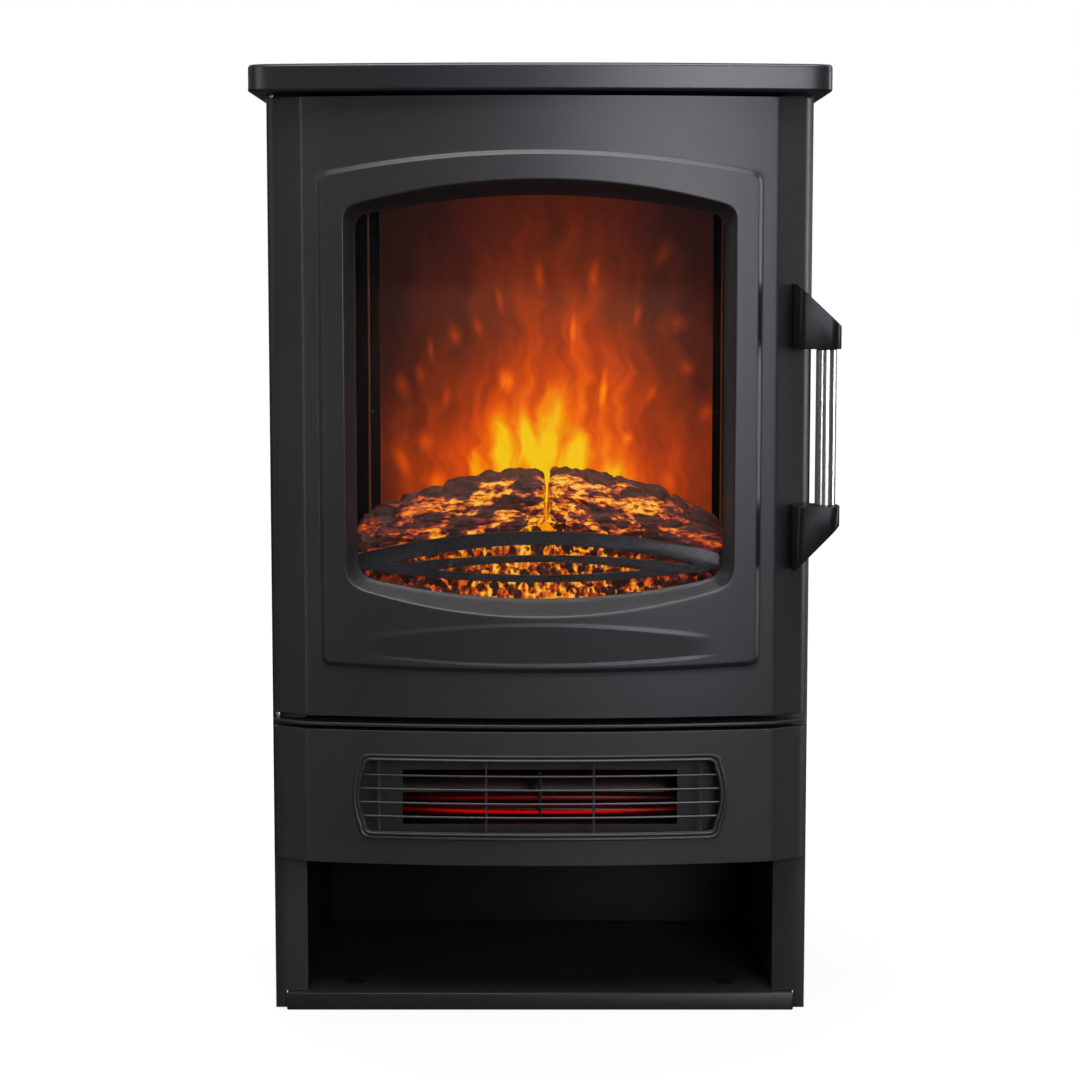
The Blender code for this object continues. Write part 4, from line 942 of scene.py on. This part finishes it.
# %% The spark group
SPARK, spark_in, spark_out = new_group(
    "spark", {"Middle": (0.0, 0.0, 0.6), "Width": 0.005, "Length": 0.010, "Lean": 0.3}, "Glow")
spark_place = vector_math(SPARK, "SUBTRACT", object_place(SPARK), spark_in["Middle"])
leaned = add_node(SPARK, "ShaderNodeVectorRotate", {"Vector": spark_place, "Angle": spark_in["Lean"]},
                  rotation_type="Y_AXIS")
spark_axes = axes_of(SPARK, leaned.outputs[0])
wide = calc(SPARK, "DIVIDE", spark_axes[0], spark_in["Width"])
tall = calc(SPARK, "DIVIDE", spark_axes[2], spark_in["Length"])
away = calc(SPARK, "SQRT", calc(SPARK, "ADD", product(SPARK, wide, wide), product(SPARK, tall, tall)))
plug(SPARK, spark_out, {"Glow": eased(SPARK, away, 0.0, 1.5, 1.0, 0.0)})

# %% The flame finish
HOTTEST_Z = 0.505
COOL_Z = 0.745
SPARKS = (  # x, z, half width and half length in mm, lean outwards
    (112, 687, 7, 13, 0.35), (127, 625, 9, 9, 0.6), (135, 584, 8, 8, 0.4), (152, 543, 7, 9, 0.5),
    (89, 632, 3.5, 10, 0.15), (102, 560, 4.5, 10, 0.4), (81, 519, 5, 6, 0.2), (-126, 568, 7, 12, -0.4),
    (-110, 578, 5, 9, -0.1), (-100, 600, 3, 12, -0.1), (-78, 613, 5, 10, -0.4), (-57, 622, 4.5, 10, -0.4),
    (-86, 556, 4, 10, 0.15), (-106, 517, 8, 10, -0.2), (-128, 498, 6, 14, -0.4), (-37, 646, 3.5, 14, -0.2),
    (0, 667, 5, 15, -0.15), (49, 667, 5, 16, 0.15), (118, 478, 6, 12, -0.3), (30, 617, 3, 20, 0.05),
)
TONGUES = (  # the same for the brightest low flames
    (16, 548, 11, 30, 0.05), (-36, 520, 12, 30, -0.08), (10, 500, 20, 40, 0.0), (-30, 572, 8, 12, -0.3),
    (58, 565, 3.5, 20, 0.12), (-12, 520, 6, 26, -0.15), (36, 505, 10, 26, 0.1), (-60, 492, 6, 18, -0.1),
    (66, 487, 12, 12, 0.6), (-96, 478, 12, 12, 0.9),
)


def flame_finish():
    finish, tree, shader = new_finish("flame_light")
    x, _, z = axes_of(tree)

    def sway(across, up):
        return centred(tree, noise_value(tree, stretched(tree, (across, 0.0, up))))

    swayed = scaled(tree, sway(26.0, 48.0), 0.012, scaled(tree, sway(9.0, 20.0), 0.055, x))
    low = eased(tree, z, COOL_Z, HOTTEST_Z, 0.0, 1.0, "LINEAR")
    reach = scaled(tree, calc(tree, "POWER", low, 2.0), 0.036, 0.124)
    side = calc(tree, "DIVIDE", calc(tree, "SUBTRACT", x, 0.015), reach)
    middle = calc(tree, "EXPONENT", product(tree, side, side, -1.0))
    body_heat = scaled(tree, calc(tree, "POWER", low, 1.5), 0.60, 0.26)

    def streaks(across, up, detail):
        spot = vector(tree, product(tree, swayed, across), 0.0, product(tree, z, up))
        return centred(tree, noise_value(tree, spot, 1.0, detail, 0.55))

    broad = product(tree, streaks(34.0, 9.0, 2.0), scaled(tree, low, 0.75, 0.18))
    fine = product(tree, streaks(110.0, 22.0, 3.0), scaled(tree, low, 0.22, 0.06))
    heat = product(tree, calc(tree, "ADD", calc(tree, "ADD", body_heat, broad), fine), middle)
    for places, strength in ((SPARKS, 0.17), (TONGUES, 0.20)):
        for *sizes, lean in places:
            spot_x, spot_z, half_width, half_length = [size / 1000 for size in sizes]
            spark = use_group(tree, SPARK, Middle=(spot_x, 0.0, spot_z), Width=half_width,
                              Length=half_length, Lean=-lean)
            heat = scaled(tree, spark["Glow"], strength, heat)
    weave = centred(tree, noise_value(tree, object_place(tree), 900.0, 1.0))
    heat = scaled(tree, weave, 0.04, heat, True)
    colour = ramp(tree, heat,
                  (0.00, tint(27, 17, 16)), (0.12, tint(46, 20, 17)), (0.25, tint(80, 28, 16)),
                  (0.38, tint(122, 42, 13)), (0.50, tint(165, 54, 8)), (0.62, tint(215, 74, 3)),
                  (0.74, tint(248, 108, 2)), (0.86, tint(254, 160, 3)), (0.97, tint(255, 205, 18)))
    # Light that has bounced more than twice is dimmed, so the flames barely tint the window frame.
    bounces = add_node(tree, "ShaderNodeLightPath").outputs["Ray Depth"]
    spill = scaled(tree, calc(tree, "GREATER_THAN", bounces, 2.5), -0.8, 1.0)
    plug(tree, shader, {"Emission Color": blend_colour(tree, spill, BLACK, colour), "Emission Strength": 1.0,
                        "Base Color": (0.004, 0.003, 0.003, 1), "Roughness": 0.6, "Specular IOR Level": 0.1})
    return finish


refine("flame_screen", flame_finish(), 0.0006)
print("flame screen:", len(SPARKS), "sparks and", len(TONGUES), "tongues")

# %% [markdown]
# ## Charred logs and embers
#
# The fuel bed is a moulding of two charred logs that meet in the middle, with glowing wood below. Charred
# wood splits into blocks along the grain. The blocks are real relief: cell noise that is longer along the log
# makes the cracks, and finer noise the grain. Each point keeps its own fire level, from the split faces that
# burn and from its crack, and the material glows by that level, broken up by dark fibres.

# %% Log and ember finishes
def fire_finish(name, char, ash, streaks, patch_scale):
    finish, tree, shader = new_finish(name)
    stored = add_node(tree, "ShaderNodeAttribute", attribute_name=FIRE_LEVEL).outputs["Fac"]
    place = object_place(tree)
    mottle = noise_value(tree, place, patch_scale * 4.0, 4.0, 0.65)
    bend = vector(tree, z=product(tree, noise_value(tree, place, 60.0), 2.5))
    fibres = noise_value(tree, vector_math(tree, "ADD", stretched(tree, streaks), bend), 1.0, 4.0, 0.62)
    dark_fibres = eased(tree, fibres, 0.36, 0.60, 0.18, 1.12, "LINEAR")
    flicker = scaled(tree, centred(tree, mottle), 1.3, 1.0)
    level = calc(tree, "MULTIPLY", product(tree, stored, dark_fibres), flicker, 0.0, True)
    colour = ramp(tree, level,
                  (0.00, (0.004, 0.002, 0.002, 1)), (0.16, tint(34, 13, 13)), (0.32, tint(96, 28, 13)),
                  (0.48, tint(178, 60, 12)), (0.64, tint(228, 104, 14)), (0.82, tint(246, 152, 24)),
                  (1.00, tint(252, 200, 62)))
    plug(tree, shader, {"Base Color": blend_colour(tree, calc(tree, "POWER", fibres, 1.5), char, ash),
                        "Emission Color": colour, "Emission Strength": 0.95,
                        "Roughness": scaled(tree, mottle, 0.3, 0.55),
                        "Normal": bump(tree, fibres, 0.9, 0.0010)})
    return finish


FIRE_LEVEL = "fire_level"
CHARRED_WOOD = fire_finish("charred_wood", (0.012, 0.006, 0.007, 1), (0.13, 0.058, 0.056, 1),
                           (70.0, 330.0, 330.0), 30.0)
EMBERS = fire_finish("embers", (0.012, 0.006, 0.005, 1), (0.07, 0.03, 0.025, 1), (230.0, 130.0, 130.0), 45.0)


def set_fire_level(piece, levels):
    store = piece.data.attributes.new(FIRE_LEVEL, "FLOAT", "POINT")
    store.data.foreach_set("value", levels)


# %% Logs
ARCH_TOP = 0.4950
ARCH_DROP = 0.043
ARCH_HALF = 0.160
GAP_X = 0.005
HOTTEST = 1.15  # fire level


def arch_top(x):
    return ARCH_TOP - ARCH_DROP * (x / ARCH_HALF) ** 2


noise.seed_set(3)  # noise_vector follows the seed, so every run gives the same logs


def cracks(place, along, across):
    """0 in the middle of a charred block and 1 in the crack between two blocks."""
    warp = noise.noise_vector(place * 45.0) * 0.35
    spot = Vector((place.x / along, place.y / across, place.z / across)) + warp
    near = noise.voronoi(spot)[0]
    return 1 - smooth_step(0.02, 0.22, near[1] - near[0])


def make_log(side, name, node, start_x, end_x, seed):
    """Log along x on its side's axis, with the relief of charred blocks carved in."""
    shape = bmesh.new()
    rings, sides = 190, 96
    rows, levels = [], []
    shift = Vector((seed, 2.3 * seed, 0.7 * seed))
    for x in spread(start_x, end_x, rings):
        y, z = side["axis"](x)
        radius = side["radius"](x)
        share = (x - start_x) / (end_x - start_x)
        end_cap = min(1.0, 0.84 + 5.0 * min(share, 1 - share))
        row = []
        for angle in circle_turns(sides):
            out = Vector((0, math.cos(angle), math.sin(angle)))
            spot = Vector((x, y, z)) + out * radius
            crack = cracks(spot + shift, side["block_length"], side["block_width"])
            lump = noise.fractal((spot + shift) * 48.0, 0.8, 2.0, 3) * 0.0040
            grain = rough(spot.x * 110, spot.y * 380, spot.z * 380) * 0.0012
            reach = radius * end_cap + lump + grain - side["crack_depth"] * crack
            ragged = rough(seed, spot.y * 60, spot.z * 110) * 0.0034
            row.append((x + ragged, y + out.y * reach * 0.78, z + out.z * reach))
            levels.append(side["glow"](spot, crack))
        rows.append(row)
    grid(shape, rows, closed=True)
    for row_start in (0, rings * sides):
        shape.verts.ensure_lookup_table()
        loop = [shape.verts[row_start + k] for k in range(sides)]
        shape.faces.new(loop if row_start else loop[::-1])
    bmesh.ops.recalc_face_normals(shape, faces=shape.faces)
    piece = new_piece(name, shape)
    set_fire_level(piece, levels)
    piece.data.shade_smooth()
    return place_piece(piece, CHARRED_WOOD, node)


def fire_share(x):
    """The fire is strongest in the middle of the bed."""
    return 1 - 0.62 * smooth_step(0.03, 0.16, abs(x - GAP_X))


def planes(spot, seed):
    """Faces of split wood that burn: patches drawn out along the log and tilted a little."""
    tilt = spot.z + 0.25 * abs(spot.x)
    return rough(spot.x * 24 + seed, tilt * 82, seed, 4)


def rear_glow(spot, crack):
    """Dark crust along the top, then planes of glowing wood with dark chunks between them."""
    drop = arch_top(spot.x) - spot.z + 0.008 * noise.noise(spot * 60.0)
    below = smooth_step(0.003, 0.010, drop)
    plane = smooth_step(-0.22, 0.16, planes(spot, 3.0))
    edge = 1 - smooth_step(0.001, 0.006, abs(spot.x - GAP_X))
    level = below * fire_share(spot.x) * (1.05 * plane + 0.15 * crack)
    # The 0.10 floor gives every point a faint glow: painted light for firelight falling on the crust.
    return min(HOTTEST, 0.10 + level + 0.22 * crack * (1 - below) + 0.35 * edge * below)


def front_glow(spot, crack):
    plane = smooth_step(-0.05, 0.30, planes(spot, 9.0))
    # The 0.12 floor is the same painted light on the front logs.
    return min(HOTTEST, 0.12 + fire_share(spot.x) * (0.9 * plane + 0.30 * crack))


REAR = {"axis": lambda x: (FLANGE_Y + 0.0372, arch_top(x) - 0.0285), "radius": lambda x: 0.0275,
        "block_length": 0.036, "block_width": 0.0125, "crack_depth": 0.0030, "glow": rear_glow}
FRONT = {"axis": lambda x: (FLANGE_Y + 0.0195, 0.4480 - 0.020 * (x / ARCH_HALF) ** 2),
         "radius": lambda x: 0.0125 + 0.0015 * math.sin(55 * x),
         "block_length": 0.026, "block_width": 0.0105, "crack_depth": 0.0026, "glow": front_glow}
make_log(REAR, "charred_log_left", "log_left", -0.166, GAP_X - 0.002, 1.7)
make_log(REAR, "charred_log_right", "log_right", GAP_X + 0.004, 0.166, 5.2)
make_log(FRONT, "front_log_left", "log_front_left", -0.165, -0.012, 8.8)
make_log(FRONT, "front_log_right", "log_front_right", 0.024, 0.165, 3.4)
print("logs made")

# %% [markdown]
# ## Coals, by Geometry Nodes
#
# Between the logs and the grate lies broken charcoal. One rough lump is modelled, and a tree scatters it over
# the ember bed at random turns and sizes, from a fixed seed so that each run gives the same bed.

# %% Ember bed
BED_HALF = 0.172
BED_FRONT = FLANGE_Y + 0.0095


def bed_height(x, y):
    crest = 0.4075 - 0.014 * (x / BED_HALF) ** 2
    fall = 1 - smooth_step(0.0, 0.016, y - BED_FRONT)
    lump = rough(x * 70, y * 70, 4.0) * 0.003
    return crest - 0.024 * fall + lump * (1 - fall)


def make_ember_bed():
    rear = FLANGE_Y + 0.053
    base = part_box("ember_bed")[0].z
    shape = bmesh.new()
    xs, ys = spread(-BED_HALF, BED_HALF, 120), spread(BED_FRONT, rear, 26)
    front_foot, rear_foot = [[(x, y, base) for x in xs] for y in (BED_FRONT, rear)]
    grid(shape, [front_foot, *[[(x, y, bed_height(x, y)) for x in xs] for y in ys], rear_foot])
    grid(shape, [rear_foot, front_foot])
    for x in (-BED_HALF, BED_HALF):
        side = [(x, y, bed_height(x, y)) for y in ys] + [(x, rear, base), (x, BED_FRONT, base)]
        shape.faces.new([shape.verts.new(point) for point in side])
    weld(shape, 0.00001)
    piece = new_piece("ember_bed_skin", shape)
    fade = [1 - 0.65 * smooth_step(0.02, 0.15, abs(v.co.x)) for v in piece.data.vertices]
    set_fire_level(piece, [0.10 + 0.75 * share for share in fade])
    return place_piece(shade(piece, 60), EMBERS, "ember_bed")


make_ember_bed()
print("ember bed made")


# %% The scattering tree
def make_coal_lump():
    """One rough lump, about a unit across."""
    shape = bmesh.new()
    bmesh.ops.create_icosphere(shape, subdivisions=2, radius=0.5)
    for vert in shape.verts:
        vert.co *= 1 + 0.35 * noise.noise(vert.co * 3.1 + Vector((4.0, 1.0, 2.0)))
        vert.co.z *= 0.75
    return new_piece("coal_lump", shape)


def make_coals():
    tree, given, output = new_geometry_tree("scattered_coals", {
        "Lump": ("Object", None), "Density": ("Float", 9000.0), "Smallest": ("Float", 0.004),
        "Largest": ("Float", 0.009), "Seed": ("Int", 7), "Material": ("Material", None)})
    full_turn = (6.283, 6.283, 6.283)
    dots = add_node(tree, "GeometryNodeDistributePointsOnFaces",
                    {"Mesh": given["Geometry"], "Density": given["Density"], "Seed": given["Seed"]})
    turn = add_node(tree, "FunctionNodeRandomValue", {"Seed": given["Seed"], 1: full_turn},
                    data_type="FLOAT_VECTOR")
    size = add_node(tree, "FunctionNodeRandomValue",
                    {"Seed": given["Seed"], 2: given["Smallest"], 3: given["Largest"]}, data_type="FLOAT")
    warmth = add_node(tree, "FunctionNodeRandomValue", {"Seed": 31}, data_type="FLOAT")
    lump = add_node(tree, "GeometryNodeObjectInfo", {"Object": given["Lump"]})
    coals = add_node(tree, "GeometryNodeInstanceOnPoints",
                     {"Points": dots.outputs[0], "Instance": lump.outputs["Geometry"],
                      "Rotation": turn.outputs[0], "Scale": size.outputs[1]})
    warm = add_node(tree, "GeometryNodeStoreNamedAttribute",
                    {"Geometry": coals.outputs[0], "Name": FIRE_LEVEL, "Value": warmth.outputs[1]},
                    data_type="FLOAT", domain="INSTANCE")
    finish_tree(tree, warm.outputs[0], given["Material"], output["Geometry"])

    slope = bmesh.new()
    xs = spread(-0.166, 0.166, 40)
    grid(slope, [[(x, FLANGE_Y + 0.0105 + 0.022 * step, 0.381 + 0.055 * step - 0.014 * (x / BED_HALF) ** 2)
                  for x in xs] for step in spread(0, 1, 8)])
    lump_piece = make_coal_lump()
    piece = run_tree("loose_coals", tree, slope, Lump=lump_piece, Density=40000.0, Smallest=0.0045,
                     Largest=0.0125, Seed=11, Material=EMBERS)
    bpy.data.objects.remove(lump_piece, do_unlink=True)
    for vert, store in zip(piece.data.vertices, piece.data.attributes[FIRE_LEVEL].data):
        centre = 1 - 0.62 * smooth_step(0.03, 0.15, abs(vert.co.x))
        store.value = centre * (0.08 + 1.15 * store.value ** 1.4)
    return place_piece(piece, EMBERS, body="cabinet", slot="ember_resin")


print("coals:", len(make_coals().data.polygons), "faces")

# %% [markdown]
# ## Screws, by Geometry Nodes
#
# The sheets are held by pan-head screws with a cross recess. One head is modelled, and a tree puts it on each
# point of a small mesh. Heads that face another way only need another turn.

# %% The screw tree
def make_screw_head():
    """Pan head, 1 unit in radius, its underside at z 0: dome, cross recess and a closed base."""
    sides = 24
    *dome, bottom = turned_rows(((0.0, 0.0), (1.0, 0.0), (1.0, 0.18), (0.86, 0.42), (0.0, 0.16)), sides)
    star = [(0.20 + 0.34 * abs(math.cos(2 * a)) ** 5, a) for a in circle_turns(sides)]
    recess = [[(reach * math.cos(a), reach * math.sin(a), z) for reach, a in star] for z in (0.52, 0.16)]
    return closed_piece("screw_head", [*dome, *recess, bottom], 0.0001)


SCREW_TREE, screw_given, screw_output = new_geometry_tree("screws_on_points", {
    "Head": ("Object", None), "Radius": ("Float", 0.003), "Turn": ("Vector", (0.0, 0.0, 0.0)),
    "Material": ("Material", None)})
head_info = add_node(SCREW_TREE, "GeometryNodeObjectInfo", {"Object": screw_given["Head"]})
screw_copies = add_node(SCREW_TREE, "GeometryNodeInstanceOnPoints",
                        {"Points": screw_given["Geometry"], "Instance": head_info.outputs["Geometry"],
                         "Rotation": screw_given["Turn"], "Scale": screw_given["Radius"]})
finish_tree(SCREW_TREE, screw_copies.outputs[0], screw_given["Material"], screw_output["Geometry"])

# %% Screws in their places
TO_FRONT, TO_REAR = (math.radians(90), 0.0, 0.0), (math.radians(-90), 0.0, 0.0)
HEAD = make_screw_head()


def screws(name, body, turn, radius, finish, xs, y, zs):
    """Screws on every crossing of a few upright and level lines."""
    base = bmesh.new()
    for x in xs:
        for z in zs:
            base.verts.new((x, y, z))
    piece = run_tree(name, SCREW_TREE, base, Head=HEAD, Radius=radius, Turn=turn, Material=finish)
    piece.data.set_sharp_from_angle(angle=math.radians(45))
    place_piece(piece, finish, body=body, slot="zinc_steel")
    print(name + ":", len(xs) * len(zs))


panel_low, panel_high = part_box("control_panel")
side_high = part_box("side_panel_right")[1]
fold_x = side_high.x - 0.0075
screws("rear_screws", "cabinet", TO_REAR, 0.0036, ZINC, (-fold_x, fold_x), side_high.y,
       (0.06, 0.24, 0.42, 0.60, 0.78))
screws("clamp_screws", "cabinet", TO_FRONT, 0.0022, HANDLE_BLACK, (-0.1530, 0.1608),
       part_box("screen_clamp_left")[0].y, (0.544,))
screws("panel_screws", "cabinet", TO_FRONT, 0.0032, HANDLE_BLACK, (-0.197, 0.197), panel_low.y,
       (panel_low.z + 0.012, panel_high.z - 0.012))
screws("clip_screws", "door", TO_REAR, 0.0026, ZINC, (-0.1738, 0.1738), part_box("glass_retainer_right")[1].y,
       (0.47, 0.56, 0.65))
bpy.data.objects.remove(HEAD, do_unlink=True)

# %% [markdown]
# ## Floor, light and camera
#
# The object stands on a pale floor under soft light: a key panel beside the camera, a wide panel above and
# in front, a narrow strip at each side for the upright edges, a light behind, and a small lamp for the fire's
# own light. The room in front is dim, so the black coat stays black. To the sides it is pale, which the coat
# and the bright bar mirror. The camera sees floor and room as white.

# %% Floor
def floor_finish():
    """Pale sheet that runs into a white room, with a faint painted shadow round the object. Only the camera
    sees its glow, so the glass has no veil.
    """
    finish = coated("pale_floor", grey(0.05), 0.7, grain=60.0, contrast=0.01, sheen=0.1)
    tree = finish.node_tree
    distance = add_node(tree, "ShaderNodeVectorMath", {0: object_place(tree)}, operation="LENGTH")
    # The glow falls from 1.0 far out to 0.92 near the object: a painted contact shadow.
    glow = eased(tree, distance.outputs["Value"], 0.24, 0.8, 0.92, 1.0)
    seen = add_node(tree, "ShaderNodeLightPath").outputs["Is Camera Ray"]
    light = blend_colour(tree, product(tree, glow, seen), BLACK, WHITE)
    plug(tree, tree.nodes["Principled BSDF"], {"Emission Color": light, "Emission Strength": 1.0})
    return finish


floor_shape = bmesh.new()
bmesh.ops.create_grid(floor_shape, x_segments=1, y_segments=1, size=30.0)
floor = new_piece("floor", floor_shape)
floor.data.materials.append(floor_finish())


# %% Lights
def panel_light(name, place, target, size, power, colour=(1, 1, 1)):
    data = bpy.data.lights.new(name, "AREA")
    data.shape = "RECTANGLE"
    data.size, data.size_y = size
    data.energy = power
    data.color = colour
    lamp = bpy.data.objects.new(name, data)
    lamp.location = place
    lamp.rotation_euler = (Vector(target) - Vector(place)).to_track_quat("-Z", "Y").to_euler()
    lamp.visible_camera = False
    bpy.context.scene.collection.objects.link(lamp)
    return lamp


panel_light("key_panel", (0.72, -2.36, 0.98), (0, -0.1, 0.55), (0.80, 1.25), 26, (0.98, 0.97, 1.06))
panel_light("top_panel", (0.1, -0.95, 2.35), (0, -0.15, 0.4), (1.7, 1.0), 50)
panel_light("right_strip", (2.3, 0.15, 1.0), (0.2, -0.1, 0.55), (0.26, 1.8), 19)
panel_light("left_strip", (-1.9, -1.9, 0.9), (-0.2, -0.1, 0.5), (0.16, 1.8), 9)
panel_light("rear_light", (-1.5, 2.6, 1.5), (0, 0.1, 0.4), (1.8, 1.2), 45)
fire_lamp = panel_light("fire_lamp", (0, FLANGE_Y + 0.012, 0.66), (0, FLANGE_Y + 0.035, 0.45), (0.26, 0.02),
                        0.35, (1.0, 0.50, 0.26))
fire_lamp.visible_transmission = False

# %% World
world = bpy.data.worlds.new("studio")
bpy.context.scene.world = world
world.use_nodes = True
sky = world.node_tree
sky.nodes.clear()
toward_back = axes_of(sky, add_node(sky, "ShaderNodeTexCoord").outputs["Generated"])[1]
room = ramp(sky, scaled(sky, toward_back, 0.5, 0.5),
            (0.00, grey(0.015)), (0.40, grey(0.02)), (0.45, grey(0.55)), (0.62, grey(0.70)),
            (0.70, grey(0.55)), (0.86, grey(0.55)), (0.92, grey(0.05)))
dim_room, white_room = [add_node(sky, "ShaderNodeBackground", {"Color": colour, "Strength": 1.0}).outputs[0]
                        for colour in (room, WHITE)]
seen = add_node(sky, "ShaderNodeLightPath").outputs["Is Camera Ray"]
choice = add_node(sky, "ShaderNodeMixShader", {0: seen, 1: dim_room, 2: white_room})
add_node(sky, "ShaderNodeOutputWorld", {"Surface": choice.outputs[0]})
bpy.context.scene.view_settings.view_transform = "Standard"

# %% Camera
camera_data = bpy.data.cameras.new("camera")
camera_data.lens = 82.2
camera_data.sensor_width = 36.0
camera = bpy.data.objects.new("camera", camera_data)
camera.location = (0.0, -2.329, 0.659)
camera.rotation_euler = (math.radians(90 - 5.896), 0.0, 0.0)
bpy.context.scene.collection.objects.link(camera)
bpy.context.scene.camera = camera
